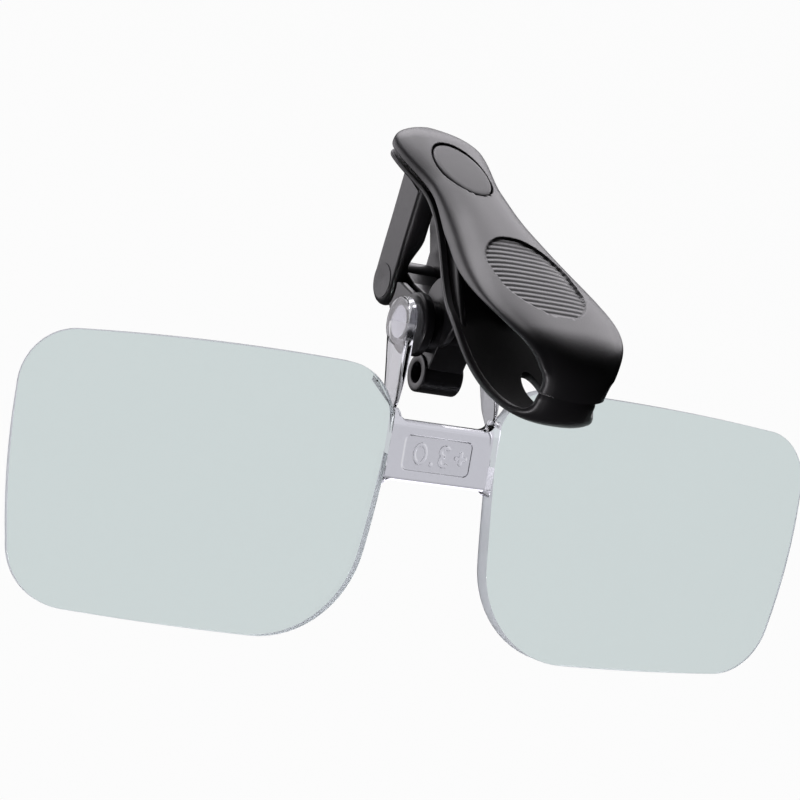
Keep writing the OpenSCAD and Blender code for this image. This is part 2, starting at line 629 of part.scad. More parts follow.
// Raised lens power, plus three point nought, read from the wearer's side
stroke = digit_h * 0.16;
panel_z = bridge_top - bridge_h / 2 - 0.2;
module bar(x, z, w, h) { translate([x - w / 2, z - h / 2]) square([w, h]); }
module hook_digit() {
    for (s = [-1, 1]) translate([0, s * (digit_h - stroke) / 4]) difference() {
        circle(digit_h / 4 + stroke / 4);
        circle(digit_h / 4 - stroke * 3 / 4);
        translate([-digit_h, s > 0 ? -digit_h * 0.75 : -digit_h * 0.12])
            square([digit_h, digit_h * 0.87]);
    }
}
// Outline of the nought, set in all round, its corners of radius r
function oval_digit(inset, r) = let (w = digit_h * 0.3 - inset, h = digit_h / 2 - inset)
    round_corners(between(w, -h, w, h), [r, r, r, r]);
module power_number() {
    bar(-3.2, 0, digit_h * 0.55, stroke);
    bar(-3.2, 0, stroke, digit_h * 0.55);
    translate([-0.9, 0]) hook_digit();
    bar(0.75, -digit_h / 2 + stroke / 2, stroke, stroke);
    translate([2.4, 0]) difference() {
        polygon(oval_digit(0, 0.75));
        polygon(oval_digit(stroke, 0.3));
    }
}

// Side profile of the bridge: flat at the back, with its front edges rounded
module bridge_side() {
    top = hinge_z(bridge_top) + fillet + 1;
    low = hinge_z(bridge_low) - fillet - 1;
    polygon(concat([[lens_back, low], [lens_back, top], [lens_back - 0.2, top]],
        [for (a = [0 : 15 : 90]) [bridge_front + bridge_edge * (1 - sin(a)),
            hinge_z(bridge_top) - bridge_edge * (1 - cos(a))]],
        [for (a = [90 : -15 : 0]) [bridge_front + bridge_edge * 0.5 * (1 - sin(a)),
            hinge_z(bridge_low) + bridge_edge * 0.5 * (1 - cos(a))]]));
}

// Front outline of an arm, from its boss to its foot on the lens's corner
foot_x = nasal_top - foot_overhang;
foot_z = bridge_top - 1.6;
web_z = lens_h / 2 - 1.2;
function hinge_z(z) = z - lens_drop;
module arm_front() {
    polygon([[arm_inner, lens_drop + boss_r + 1], [arm_inner, lens_drop - boss_r], [foot_x, web_z],
             [foot_x, foot_z], [foot_x + arm_t, foot_z], [foot_x + arm_t, web_z],
             [arm_outer, lens_drop - boss_r], [arm_outer, lens_drop + boss_r + 1]]);
}
// Side outline of the arm: round about the hinge, tapering down to its foot
arm_foot_front = bridge_front + arm_recess;
module arm_side() {
    circle(boss_r);
    polygon([[boss_r - 0.06, 0.05], [lens_back + arm_back, hinge_z(bridge_top)],
             [lens_back - 0.3, hinge_z(foot_z)], [arm_foot_front, hinge_z(foot_z)],
             [arm_foot_front, -boss_r * 0.6], [0.06 - boss_r, 0.05]]);
}
// Outline of the web that joins the arm to the top of its lens, hollow outside
module arm_web() {
    x0 = foot_x + arm_t;
    polygon(concat([[x0 - 0.3, web_z + web_h + 0.5], [x0 - 0.3, web_z - 4.5], [x0 + web_l, web_z - 1]],
        [for (a = [0 : 10 : 80]) [x0 + web_l * (1 - sin(a)), web_z + web_h * (1 - cos(a))]]));
}

module lens() {
    color(clear_plastic) in_lens_plane() difference() {
        union() {
            pair() one_lens();
            intersection() {
                front_plane(bridge_front, lens_back) bridge_outline();
                side_plate(-lens_x, lens_x) bridge_side();
            }
            pair() intersection() {
                front_plane(-boss_r - 1.5, boss_r + 1.5) arm_front();
                side_plate(0, arm_outer + 6) arm_side();
            }
            pair() front_plane(arm_foot_front, lens_back) arm_web();
        }
        pair() rod(axle_r + running, arm_inner - 1, arm_inner + arm_seat, [0, 0]);
        front_plane(lens_back - panel_depth, lens_back + 1) translate([0, panel_z]) difference() {
            polygon(round_corners(between(panel_l / 2 - 0.5, -panel_h / 2, panel_l / 2, panel_h / 2),
                                  [0.8, 0.8, 0.8, 0.8]));
            mirror([1, 0, 0]) power_number();
        }
    }
}

upper_jaw();
badge();
lower_jaw();
jaw_pin();
jaw_spring();
hinge_link();
link_pin();
lens_axle();
mirror([1, 0, 0]) friction_disc();  // friction_disc_left
friction_disc();  // friction_disc_right
lens();
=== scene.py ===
import bpy
import bmesh
import math
import numpy as np
from mathutils import Matrix, Vector


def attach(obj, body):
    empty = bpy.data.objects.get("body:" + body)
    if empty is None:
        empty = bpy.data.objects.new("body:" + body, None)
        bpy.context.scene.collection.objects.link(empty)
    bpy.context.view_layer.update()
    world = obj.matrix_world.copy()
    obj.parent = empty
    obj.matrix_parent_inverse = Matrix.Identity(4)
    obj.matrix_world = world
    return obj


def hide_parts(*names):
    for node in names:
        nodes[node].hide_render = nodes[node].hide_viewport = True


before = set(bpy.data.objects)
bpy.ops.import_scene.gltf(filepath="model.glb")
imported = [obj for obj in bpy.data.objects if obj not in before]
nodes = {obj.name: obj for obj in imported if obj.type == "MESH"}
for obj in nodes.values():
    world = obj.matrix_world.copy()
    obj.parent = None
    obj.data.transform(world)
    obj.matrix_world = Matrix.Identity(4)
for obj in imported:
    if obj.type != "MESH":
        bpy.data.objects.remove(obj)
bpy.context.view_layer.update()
print("frame loaded:", len(nodes), "nodes")

# All the sizes below are in millimetres and degrees; makeObject turns them into metres.
mm = 0.001
capMargin = 0.05  # how far inside a plate's cap its shading ring lies


def held(t):
    return np.clip(t, 0, 1)


def ease(t):
    t = held(t)
    return t * t * (3 - 2 * t)


def mix(a, b, t):
    return a + (b - a) * t


def roundedOff(t, power):  # a superellipse: (1 - t^p)^(1/p), with t held between 0 and 1
    return np.maximum(1 - held(t) ** power, 0) ** (1 / power)


def unit(rows):
    return rows / np.linalg.norm(rows, axis=1)[:, None]


def fullTurn(count):
    return np.linspace(0, 2 * math.pi, count, endpoint=False)


def newObject(name, data):
    obj = bpy.data.objects.new(name, data)
    bpy.context.collection.objects.link(obj)
    return obj


def makeObject(name, points, faces, sharpAt=38, inside=None):
    mesh = bpy.data.meshes.new(name)
    mesh.from_pydata((np.asarray(points, float) * mm).tolist(), [], faces)
    if inside is not None:
        mesh.attributes.new("inside", "FLOAT", "POINT").data.foreach_set("value", inside)
    mesh.validate()
    bm = bmesh.new()
    bm.from_mesh(mesh)
    bmesh.ops.remove_doubles(bm, verts=bm.verts, dist=1e-7)
    bmesh.ops.recalc_face_normals(bm, faces=bm.faces)
    bm.to_mesh(mesh)
    bm.free()
    mesh.shade_smooth()
    mesh.set_sharp_from_angle(angle=math.radians(sharpAt))
    return newObject(name, mesh)


def gridFaces(rows, cols, wrapRows=False, wrapCols=True, start=0):
    i = np.arange(rows if wrapRows else rows - 1)[:, None]
    j = np.arange(cols if wrapCols else cols - 1)[None, :]
    a, b = i * cols + j, i * cols + (j + 1) % cols
    c, d = ((i + 1) % rows) * cols + (j + 1) % cols, ((i + 1) % rows) * cols + j
    return (np.stack([a, b, c, d], -1).reshape(-1, 4) + start).tolist()


def closedFaces(rows, cols):  # a grid's faces, with a cap on its first and on its last row
    first, last = list(range(cols)), list(range((rows - 1) * cols, rows * cols))
    return gridFaces(rows, cols) + [first, last[::-1]]


class Shape:  # gathers closed surfaces that end up in one mesh
    def __init__(self):
        self.points, self.faces, self.inside, self.count = [], [], [], 0

    def add(self, points, faces, inside=None):
        points = np.asarray(points, float).reshape(-1, 3)
        self.points.append(points)
        self.inside.append(np.zeros(len(points)) if inside is None else inside.ravel())
        self.faces += [[v + self.count for v in f] for f in faces]
        self.count += len(points)
        return self

    def mirrored(self, points, faces):
        self.add(points, faces)
        return self.add(np.asarray(points, float).reshape(-1, 3) * [-1, 1, 1], [f[::-1] for f in faces])

    def build(self, name, sharpAt=38):
        points, inside = np.concatenate(self.points), np.concatenate(self.inside)
        return makeObject(name, points, self.faces, sharpAt, inside)


def inwardNormals(outline):  # unit normals of a closed outline, pointing into it
    tangent = unit(np.roll(outline, -1, 0) - np.roll(outline, 1, 0))
    area = np.sum(outline[:, 0] * np.roll(outline[:, 1], -1) - np.roll(outline[:, 0], -1) * outline[:, 1])
    return np.stack([-tangent[:, 1], tangent[:, 0]], 1) * np.sign(area)


# A plate across X with rounded edges: the outline in (y, z) is set back by edge * (1 - sin a) where x has run
# by edge * (1 - cos a). A ring just inside each cap keeps the cap's shading flat.
def plate(outline, x0, x1, edge, steps=4):
    a = np.linspace(0, math.pi / 2, steps + 1)
    back, run = edge * (1 - np.sin(a)), edge * (1 - np.cos(a))
    back, run = np.concatenate([[edge + capMargin], back]), np.concatenate([[0], run])
    back, xs = np.concatenate([back, back[::-1]]), np.concatenate([x0 + run, x1 - run[::-1]])
    rings = outline[None] + inwardNormals(outline)[None] * back[:, None, None]
    points = np.concatenate([np.broadcast_to(xs[:, None, None], rings.shape[:2] + (1,)), rings], -1)
    return points, closedFaces(*rings.shape[:2])


# A closed (x, radius) loop turned about the X axis through centre (y, z).
def lathe(profile, centre, turns=72):
    profile = np.asarray(profile, float)
    a = fullTurn(turns)
    x = np.broadcast_to(profile[None, :, 0], (turns, len(profile)))
    y = centre[0] + profile[None, :, 1] * np.cos(a)[:, None]
    z = centre[1] + profile[None, :, 1] * np.sin(a)[:, None]
    return np.stack([x, y, z], -1), gridFaces(turns, len(profile), wrapRows=True)


def arc(cx, cy, r, a0, a1, n=6):
    a = np.radians(np.linspace(a0, a1, n))
    return np.stack([cx + r * np.cos(a), cy + r * np.sin(a)], 1)


def hull2d(points):  # convex outline of a cloud of points, by the monotone chain
    pts = sorted(set(map(tuple, np.round(np.asarray(points), 5))))
    halves = []
    for run in (pts, pts[::-1]):
        chain = []
        for p in run:
            while len(chain) > 1 and ((chain[-1][0] - chain[-2][0]) * (p[1] - chain[-2][1])
                                      - (chain[-1][1] - chain[-2][1]) * (p[0] - chain[-2][0])) <= 0:
                chain.pop()
            chain.append(p)
        halves += chain[:-1]
    return np.array(halves)


def evenly(outline, count):  # the closed outline resampled at even steps along its length
    loop = np.vstack([outline, outline[:1]])
    s = np.concatenate([[0], np.cumsum(np.linalg.norm(np.diff(loop, axis=0), axis=1))])
    at = np.linspace(0, s[-1], count, endpoint=False)
    return np.stack([np.interp(at, s, loop[:, k]) for k in (0, 1)], 1)


# The clip: shared sizes.
clip = dict(tipReach=2.8, noseReach=53.7, lipHalf=6.35, waistHalf=5.05, padHalf=8.4,
            lipY=2.3, waistY=13, padY=39, crownZ=2.8, seamDrop=5.4, noseRound=7.4,
            squareness=2.8, frontSquareness=1.9, nosePower=2.4, curlPower=2.6, tipPower=1.4,
            tipSteps=7, topSteps=11, noseSteps=12, rim=1.0, rimRound=0.2, thinEdge=0.45,
            lapWall=0.35, lapGap=0.3, hollow=0.2)
# the shares of a section's half width where its evenly spaced columns end and where its rim's rounding begins
flatShare, rimShare = 0.86, 0.8
seamZ = clip["crownZ"] - clip["seamDrop"]
turnY = -(clip["noseReach"] - clip["noseRound"])
lipY = clip["lipY"]


# Half width in plan: an elliptical lip, eased to the waist and to the pad, and half an ellipse at the nose.
def planHalf(back, inset=0):
    lipHalf, waistHalf, padHalf = clip["lipHalf"], clip["waistHalf"], clip["padHalf"]
    waistY, padY = clip["waistY"], clip["padY"]
    lip = lipHalf * roundedOff((lipY - back) / (lipY + clip["tipReach"]), 2)
    waist = mix(lipHalf, waistHalf, ease((back - lipY) / (waistY - lipY)))
    pad = mix(waistHalf, padHalf, ease((back - waistY) / (padY - waistY)))
    nose = (padHalf - inset) * roundedOff((back - padY) / (clip["noseReach"] - inset - padY), 2)
    level = np.where(back < lipY, lip, np.where(back < waistY, waist, pad)) - inset
    return np.where(back > padY, nose, level)


def inwardOf(path, turn):
    tangent = unit(np.gradient(path, axis=0))
    return turn * np.stack([-tangent[:, 1], tangent[:, 0]], 1)


# Closed loops round a channel: at each station the outside runs as x = half * t with a depth of
# deep * (1 - superellipse(t)), the rim is rounded over, and the inside comes back set in by wall and edge.
def sectionRings(path, inward, half, deep, wall, edge, power, across, softness=clip["rimRound"]):
    power = power[:, None]
    half, deep, wall, edge = [np.asarray(v, float)[:, None] for v in (half, deep, wall, edge)]
    softness = np.reshape(softness, (-1, 1))
    t = np.atleast_2d(across)
    chains = []
    for w, d, base, sign in ((half, deep, 0, 1), (half - edge, deep - wall, wall, -1)):
        r = np.minimum(softness, edge * clip["thinEdge"]) * np.ones_like(half)
        lift = 1 - np.minimum(r / np.maximum(d, 1e-3), 0.9) * ease((np.abs(t) - rimShare) / (1 - rimShare))
        side = d * (1 - roundedOff(np.abs(t), power)) * np.where(np.abs(t) > rimShare, lift, 1)
        body = np.stack(np.broadcast_arrays(w * t, base + side), -1)
        low = base + d
        turns = []
        for a in (15, 45, 75, 90):
            s, c = math.sin(math.radians(a)), math.cos(math.radians(a))
            turns.append(np.stack(np.broadcast_arrays(w - sign * r * (1 - c), low - r * (1 - s)), -1))
        middle = np.stack(np.broadcast_arrays(half - edge * 0.5 + 0.003 * sign, low), -1)
        right = np.concatenate(turns + [middle], 1)
        left = right[:, ::-1] * [-1, 1]
        chains.append(np.concatenate([left, body, right], 1))
    outer, inner = chains
    loop = np.concatenate([outer, inner[:, ::-1]], 1)
    x, depth = loop[..., 0], loop[..., 1]
    y = path[:, None, 0] + inward[:, None, 0] * depth
    z = path[:, None, 1] + inward[:, None, 1] * depth
    return np.stack([x, y, z], -1), outer.shape[1]


# marks the inner faces that the material darkens with painted shade and makes duller
def innerMark(rows, chain):  # 1 on a channel's inner side, past its rim, and 0 outside
    column = np.arange(2 * chain)
    return np.tile(ease((column - chain - 3) / 3) * ease((2 * chain - 4 - column) / 3), (rows, 1))


def channelFaces(rows, chain):
    n = 2 * chain
    faces = gridFaces(rows, n)
    k = np.arange(chain - 1)
    cap = np.stack([k, k + 1, n - 2 - k, n - 1 - k], 1)
    return faces + cap.tolist() + (cap + (rows - 1) * n)[:, ::-1].tolist()


def acrossSamples(centre, sides):
    flat = np.linspace(-flatShare, flatShare, centre)
    q = np.linspace(1 - roundedOff(flatShare, clip["squareness"]), 1, sides + 1)[1:]
    steep = (1 - (1 - q) ** clip["squareness"]) ** (1 / clip["squareness"])
    return np.concatenate([-steep[::-1], flat, steep])


# Distance inside an oval's edge: (1 - e) over the slope of e, where e is the oval's own radius.
def ovalDistance(x, y, centreY, length, width):
    a, b = width / 2, length / 2
    e = np.sqrt((x / a) ** 2 + ((y - centreY) / b) ** 2) + 1e-6
    slope = np.sqrt((x / a ** 2) ** 2 + ((y - centreY) / b ** 2) ** 2) / e + 1e-6
    return (1 - e) / slope


# Upper jaw.
upper = dict(tipDrop=0.9, tipDepth=1.3, lipDepth=2.3, pivotDepth=3.4, rearDepth=1.55, noseDepth=2.6,
             noseTrim=0.6, wall=1.2, lapHeight=2.4, pivotY=22, pivotDrop=0.8,
             skirtRise=9, skirtFrom=5, skirtFall=18, noseRimRound=0.45, roundFrom=38, roundOver=8,
             topHalf=5.4,
             padLength=18, padWidth=11.4, padY=-35, padDepth=0.34, padRibs=17, ribHeight=0.085, padEdge=0.22,
             badgeLength=13.1, badgeWidth=7.2, badgeY=-9.4, badgeDepth=0.8, badgeEdge=0.16)
lug = dict(radius=1.3, thick=0.9, skirtGap=0.5, sideGap=0.2)
earInset = clip["rim"] + lug["skirtGap"]
lugHalf = float(planHalf(upper["pivotY"] - lug["radius"]))
lugInner = lugHalf - earInset - 2 * lug["thick"] - lug["sideGap"]


# The side line: flat crown, a drooping tip, and a nose on a superellipse down to the seam.
def upperPath(i):
    tip, top, nose = clip["tipSteps"], clip["topSteps"], clip["noseSteps"]
    yTip = mix(clip["tipReach"] - 0.05, -lipY, held(i / tip) ** clip["tipPower"])
    yTop = mix(-lipY, turnY, held((i - tip) / top))
    a = np.radians(90) * held((i - tip - top) / nose)
    p = 2 / clip["nosePower"]
    y = np.where(i < tip, yTip, np.where(i < tip + top, yTop, turnY - clip["noseRound"] * np.sin(a) ** p))
    pastLip = np.maximum(y + lipY, 0) / (lipY + clip["tipReach"])
    zTip = clip["crownZ"] - upper["tipDrop"] * pastLip ** 2
    z = np.where(i < tip + top, zTip, seamZ + clip["seamDrop"] * np.maximum(np.cos(a), 0) ** p)
    return np.stack([y, z], 1)


def makeUpperJaw():
    tip, top, nose = clip["tipSteps"], clip["topSteps"], clip["noseSteps"]
    yToStep = lambda y: tip + top * (y + lipY) / (turnY + lipY)
    # the rows lie closer together at the badge and at the pad than elsewhere
    spans = ((-2.2, -15.2, 0.15), (-15.2, -25.4, 0.5), (-25.4, -43.2, 0.13), (-43.2, turnY, 0.4))
    flat = np.concatenate([np.arange(start, end, -step) for start, end, step in spans])
    tipRows, noseRows = np.linspace(0, tip, 26)[:-1], np.linspace(tip + top, tip + top + nose, 44)
    i = np.concatenate([tipRows, yToStep(flat), noseRows])
    i = i[np.diff(i, prepend=-1) > 1e-4]
    path = upperPath(i)
    back = -path[:, 0]
    turned = ease((i - tip - top) / nose)
    power = mix(clip["squareness"], clip["frontSquareness"], turned)
    inward = inwardOf(path, 1)
    behind = back - upper["pivotY"]
    skirt = mix(upper["lipDepth"], upper["pivotDepth"], ease(1 + behind / upper["skirtRise"]))
    skirt = mix(skirt, upper["rearDepth"], ease((behind - upper["skirtFrom"]) / upper["skirtFall"]))
    tipDeep = mix(upper["tipDepth"], upper["lipDepth"], ease(i / tip))
    noseDeep = mix(upper["rearDepth"], upper["noseDepth"], turned) - upper["noseTrim"] * ease(turned * 2 - 1)
    deep = np.where(i < tip, tipDeep, np.where(i < tip + top, skirt, noseDeep))
    half = np.where(i < tip, planHalf(back), planHalf(-(path[:, 0] + inward[:, 0] * deep)))
    lapped = ease(seamZ + upper["lapHeight"] + 1 - path[:, 1])
    wall = mix(mix(deep - clip["hollow"], upper["wall"], ease((i - tip - 1) / 2)), clip["lapWall"], lapped)
    edge = mix(np.minimum(clip["rim"], half * clip["thinEdge"]), clip["lapWall"], lapped)
    rounder = ease((back - upper["roundFrom"]) / upper["roundOver"])
    softness = mix(clip["rimRound"], upper["noseRimRound"], rounder)
    across = acrossSamples(85, 10)
    points, chain = sectionRings(path, inward, half, deep, wall, edge, power, across, softness)
    # the pad: a recess with cosine ribs across it, and the badge's oval pocket, both sunk from the outside
    x, y = points[:, :chain, 0], points[:, :chain, 1]
    onTop = (np.abs(x) < upper["topHalf"]) & (i < tip + top)[:, None]
    inPad = ovalDistance(x, y, upper["padY"], upper["padLength"], upper["padWidth"])
    pitch = upper["padLength"] / upper["padRibs"]
    wave = 0.5 + 0.5 * np.cos(2 * math.pi * (y - upper["padY"]) / pitch)
    sunk = (upper["padDepth"] - upper["ribHeight"] * wave ** 0.7) * ease(inPad / upper["padEdge"])
    inBadge = ovalDistance(x, y, upper["badgeY"], upper["badgeLength"], upper["badgeWidth"])
    sunk = sunk + upper["badgeDepth"] * ease(inBadge / upper["badgeEdge"])
    points[:, :chain, 2] -= np.where(onTop, sunk, 0)
    shape = Shape().add(points, channelFaces(len(i), chain), innerMark(len(i), chain))
    # lugs round the pivot pin
    r, high = lug["radius"], clip["crownZ"] - 1
    outline = np.vstack([arc(-upper["pivotY"], -upper["pivotDrop"], r, 180, 360, 24),
                         [[r - upper["pivotY"], high], [-r - upper["pivotY"], high]]])
    shape.mirrored(*plate(evenly(outline, 90), lugInner, lugInner + lug["thick"], 0.1, 2))
    return shape.build("upperJaw", 32)


upperJaw = makeUpperJaw()
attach(upperJaw, "clip_top")
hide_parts("upper_jaw")
print("upper jaw:", len(upperJaw.data.polygons), "faces")


# Badge: a bare oval disc with a softened edge and a faint crown.
badge = dict(length=12.7, width=6.8, y=-9.4, floor=2.0, top=2.74, edge=0.3, crown=0.06, turns=128)


# Rings from the centre out, each an oval of radius s: the top falls by crown * s^2, and the edge is rounded.
def makeBadge():
    a = fullTurn(badge["turns"])
    s = np.concatenate([[0.001], np.linspace(0.1, 0.9, 8)])
    lift = badge["top"] - badge["crown"] * s ** 2
    q = np.radians(np.linspace(0, 90, 7))
    inset = badge["edge"] * (1 - np.sin(q))
    edgeZ = badge["top"] - badge["crown"] - badge["edge"] * (1 - np.cos(q))
    half, longer = badge["width"] / 2, (badge["length"] - badge["width"]) / 2
    profileS = np.concatenate([s, 1 - inset / half, [1.0, 0.001]])
    profileZ = np.concatenate([lift, edgeZ, [badge["floor"], badge["floor"]]])
    x = half * profileS[:, None] * np.cos(a)
    stretch = longer * np.minimum(profileS / profileS[-2], 1)[:, None] * np.sin(a)
    y = badge["y"] + half * profileS[:, None] * np.sin(a) + stretch
    z = np.broadcast_to(profileZ[:, None], x.shape)
    return makeObject("badgeDisc", np.stack([x, y, z], -1).reshape(-1, 3), closedFaces(*x.shape), 40)


badgeDisc = makeBadge()
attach(badgeDisc, "clip_top")
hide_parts("badge")


# Lower jaw: tray, curl, ears and legs.
lower = dict(inset=0.2, tip=0.4, tipRound=2.4, lipBottom=1.4, midBottom=6.4, noseBottom=8.2,
             descentStart=10, descentEnd=33, lipPlate=1.2, midPlate=1.6, curlDepth=1.9, wall=1.0,
             hollowOver=6, seamGap=0.3, curlLess=1.4, lapLean=0.2, leanHeight=1.2, steps=16,
             curlFrom=5, curlOver=7, insetFrom=4, insetOver=8,
             windowWidth=2.8, windowLength=6.4, windowY=44.3)
leg = dict(y=-8.9, z=-14.7, radius=3.1, gap=5.0, thick=1.7, rootY=-2.6, rootWidth=6.6, rootZ=-0.9, edge=0.8,
           rootThick=1.2, thickFrom=-11.4, thickOver=4, facet=2.2, facetRise=0.08)
lapInset = clip["lapWall"] + clip["lapGap"]
curlTop = seamZ - lower["seamGap"]
curlSide = curlTop - lower["leanHeight"]
curlRound = clip["noseRound"] - lower["curlLess"]
curlY = -(clip["noseReach"] - lapInset - curlRound)


def descent(back):  # how far the floor has gone down between the lip and the middle, from 0 to 1
    return ease((back - lower["descentStart"]) / (lower["descentEnd"] - lower["descentStart"]))


def lowerBottom(back):
    dipping = ease((back - lower["descentEnd"]) / (-curlY - lower["descentEnd"]))
    level = mix(lower["lipBottom"], lower["midBottom"], descent(back))
    return -level - (lower["noseBottom"] - lower["midBottom"]) * dipping


ear = dict(slope=12.8, slopeTop=-0.9, shoulder=0.7, footRise=0.25, sunk=0.35, crest=0.6,
           frontFrom=2.3, frontOver=1.2, frontTop=-0.2, frontFoot=1.2, footBefore=2.0)


# A wall that follows the outline, rising from the floor to a round top about the pin.
def earSurface():
    pivot, r, shoulder = upper["pivotY"], lug["radius"], lug["radius"] * ear["shoulder"]
    back = np.linspace(pivot - r - 1, pivot + ear["slope"], 60)
    behind = back - pivot
    foot = lowerBottom(pivot + ear["slope"]) + lower["wall"] + ear["footRise"]
    slope = mix(ear["slopeTop"], foot, held((behind - shoulder) / (ear["slope"] - shoulder)))
    frontFoot = lowerBottom(pivot - ear["footBefore"]) + ear["frontFoot"]
    front = mix(frontFoot, ear["frontTop"], ease((behind + ear["frontFrom"]) / ear["frontOver"]))
    top = np.where(behind < 0, front, slope)
    roundTop = np.sqrt(np.maximum(r ** 2 - behind ** 2, 0)) - upper["pivotDrop"]
    top = np.where(np.abs(behind) < r, np.maximum(top, roundTop), top)[:, None]
    half, floor = lug["thick"] / 2, (lowerBottom(back) + ear["sunk"])[:, None]
    q = np.radians(np.linspace(0, 180, 9))
    x = (planHalf(back) - earInset - half)[:, None] + half * np.concatenate([np.cos(q), [-1, 1]])
    z = np.concatenate([top + half * ear["crest"] * (np.sin(q) - 1), floor, floor], 1)
    return np.stack([x, np.broadcast_to(-back[:, None], x.shape), z], -1), closedFaces(*x.shape)


def makeLowerJaw():
    tip, steps, nose = clip["tipSteps"], lower["steps"], clip["noseSteps"]
    first = tip + steps
    windowHalf = lower["windowLength"] / 2
    windowFrom, windowTo = lower["windowY"] - windowHalf, lower["windowY"] + windowHalf
    q = np.linspace(0, math.pi, 21)
    backs = np.concatenate([np.arange(lipY, windowFrom, 0.45), lower["windowY"] - windowHalf * np.cos(q)])
    stepOf = lambda back: tip + steps * (back - lipY) / (-curlY - lipY)
    quarter = np.sin(np.radians(90) * np.linspace(0, 1, 400))
    curlBacks = -curlY + curlRound * quarter ** (2 / clip["curlPower"])
    curlSteps = np.linspace(first, first + nose, 400)
    i = np.where(backs < -curlY, stepOf(backs), np.interp(backs, curlBacks, curlSteps))
    i = np.concatenate([np.linspace(0, tip, 22)[:-1], i, np.linspace(i[-1], first + nose, 32)[1:],
                        first + nose + np.array([0.5, 1, 1.5, 2])])
    i = i[np.diff(i, prepend=-1) > 1e-4]
    yTip = mix(lower["tip"], -lipY, held(i / tip) ** clip["tipPower"])
    y = np.where(i < tip, yTip, mix(-lipY, curlY, held((i - tip) / steps)))
    a = np.radians(90) * held((i - first) / nose)
    p = 2 / clip["curlPower"]
    lean = held((i - first - nose) / 2)
    y = np.where(i > first, curlY - curlRound * np.sin(a) ** p + lower["lapLean"] * lean ** 2, y)
    z = np.where(i > first, curlSide - (lower["noseBottom"] + curlSide) * np.maximum(np.cos(a), 0) ** p
                 + (curlTop - curlSide) * lean, lowerBottom(-y))
    path = np.stack([y, z], 1)
    back = -y
    toTip = (lipY - back) / (lipY + lower["tip"] + 0.02)
    lip = (clip["lipHalf"] - lower["inset"]) * roundedOff(toTip, lower["tipRound"])
    inward = inwardOf(path, -1)
    turned = ease((i - first) / nose)
    power = mix(clip["squareness"], clip["frontSquareness"], turned)
    curled, lapped = [ease((i - first - lower[k + "From"]) / lower[k + "Over"]) for k in ("curl", "inset")]
    deep = np.where(i > first, mix(lower["midPlate"], lower["curlDepth"], curled),
                    mix(lower["lipPlate"], lower["midPlate"], descent(back)))
    inset = mix(lower["inset"], lapInset, lapped) + lower["lapLean"] * lean ** 2
    half = np.where(i < tip, lip, planHalf(-(path[:, 0] + inward[:, 0] * deep), inset))
    thinned = ease((back - lower["descentStart"]) / lower["hollowOver"])
    hollowed = mix(deep - clip["hollow"], lower["wall"], thinned)
    wall = np.where(i > first, lower["wall"], hollowed)
    edge = np.minimum(clip["rim"], half * clip["thinEdge"])
    # along the window, the columns at plus and minus share are drawn in to an ellipse's half width
    share = 0.2
    across = np.sort(np.append(acrossSamples(45, 9), [-share, share]))
    along = (back - lower["windowY"]) / (lower["windowLength"] / 2)
    oval = np.sqrt(held(1 - along ** 2)) * lower["windowWidth"] / 2 / (half - edge / 2)
    drawn = np.where(np.abs(along) < 1.001, oval, share)[:, None]
    t = np.abs(across)[None, :]
    beside = mix(drawn, flatShare, (t - share) / (flatShare - share))
    t = np.where(t <= share, t / share * drawn, np.where(t < flatShare, beside, t))
    points, chain = sectionRings(path, inward, half, deep, wall, edge, power, t * np.sign(across))
    rows, n = len(i), 2 * chain
    faces = np.array(channelFaces(rows, chain))
    # the floor's window: drop the faces between two rows and two columns, and wall its edge
    rowA, rowB = np.argmin(np.abs(back - windowFrom)), np.argmin(np.abs(back - windowTo))
    extra = (chain - len(across)) // 2
    colA, colB = extra + int(np.where(across == -share)[0][0]), extra + int(np.where(across == share)[0][0])
    first4 = faces[: (rows - 1) * n]
    r, c = first4[:, 0] // n, first4[:, 0] % n
    inOuter = (r >= rowA) & (r < rowB) & (c >= colA) & (c < colB)
    inInner = (r >= rowA) & (r < rowB) & (c >= n - 1 - colB) & (c < n - 1 - colA)
    kept = faces[np.concatenate([~(inOuter | inInner), np.ones(len(faces) - len(first4), bool)])].tolist()
    at = lambda row, col: int(row * n + col)
    other = lambda row, col: int(row * n + n - 1 - col)
    rim = [(row, colA) for row in range(rowA, rowB)] + [(rowB, col) for col in range(colA, colB)]
    rim += [(row, colB) for row in range(rowB, rowA, -1)] + [(rowA, col) for col in range(colB, colA, -1)]
    for a, b in zip(rim, rim[1:] + rim[:1]):
        kept.append([at(*a), at(*b), other(*b), other(*a)])
    shape = Shape().add(points, kept, innerMark(rows, chain))
    shape.mirrored(*earSurface())
    # the legs: a plate with a round end, and a flat round facet on its outer face
    outline = np.vstack([arc(leg["y"], leg["z"], leg["radius"], 0, -180, 40),
                         [[leg["rootY"] - leg["rootWidth"], leg["rootZ"]], [leg["rootY"], leg["rootZ"]]]])
    legIn, legOut = leg["gap"] / 2, leg["gap"] / 2 + leg["thick"]
    points, faces = plate(evenly(outline, 240), legIn, legOut, leg["edge"])
    thicker = leg["rootThick"] * ease((points[..., 2] - leg["thickFrom"]) / leg["thickOver"])
    points[..., 0] -= thicker * held((legOut - points[..., 0]) / leg["thick"])
    shape.mirrored(points, faces)
    facet = [[legIn + 1, 0.02], [legIn + 1, leg["facet"] + 0.1], [legOut + leg["facetRise"], leg["facet"]],
             [legOut + 0.02, 0.02]]
    shape.mirrored(*lathe(facet, (leg["y"], leg["z"]), 64))
    return shape.build("lowerJaw", 34)


lowerJaw = makeLowerJaw()
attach(lowerJaw, "clip_base")
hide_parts("lower_jaw")
print("lower jaw:", len(lowerJaw.data.polygons), "faces")


# Torsion spring.
spring = dict(wire=0.45, radius=1.06, coils=5, arm=10, y=-22, z=-0.8, sides=14, perTurn=40,
              sideGap=0.1, topGap=0.15, floorGap=0.75)


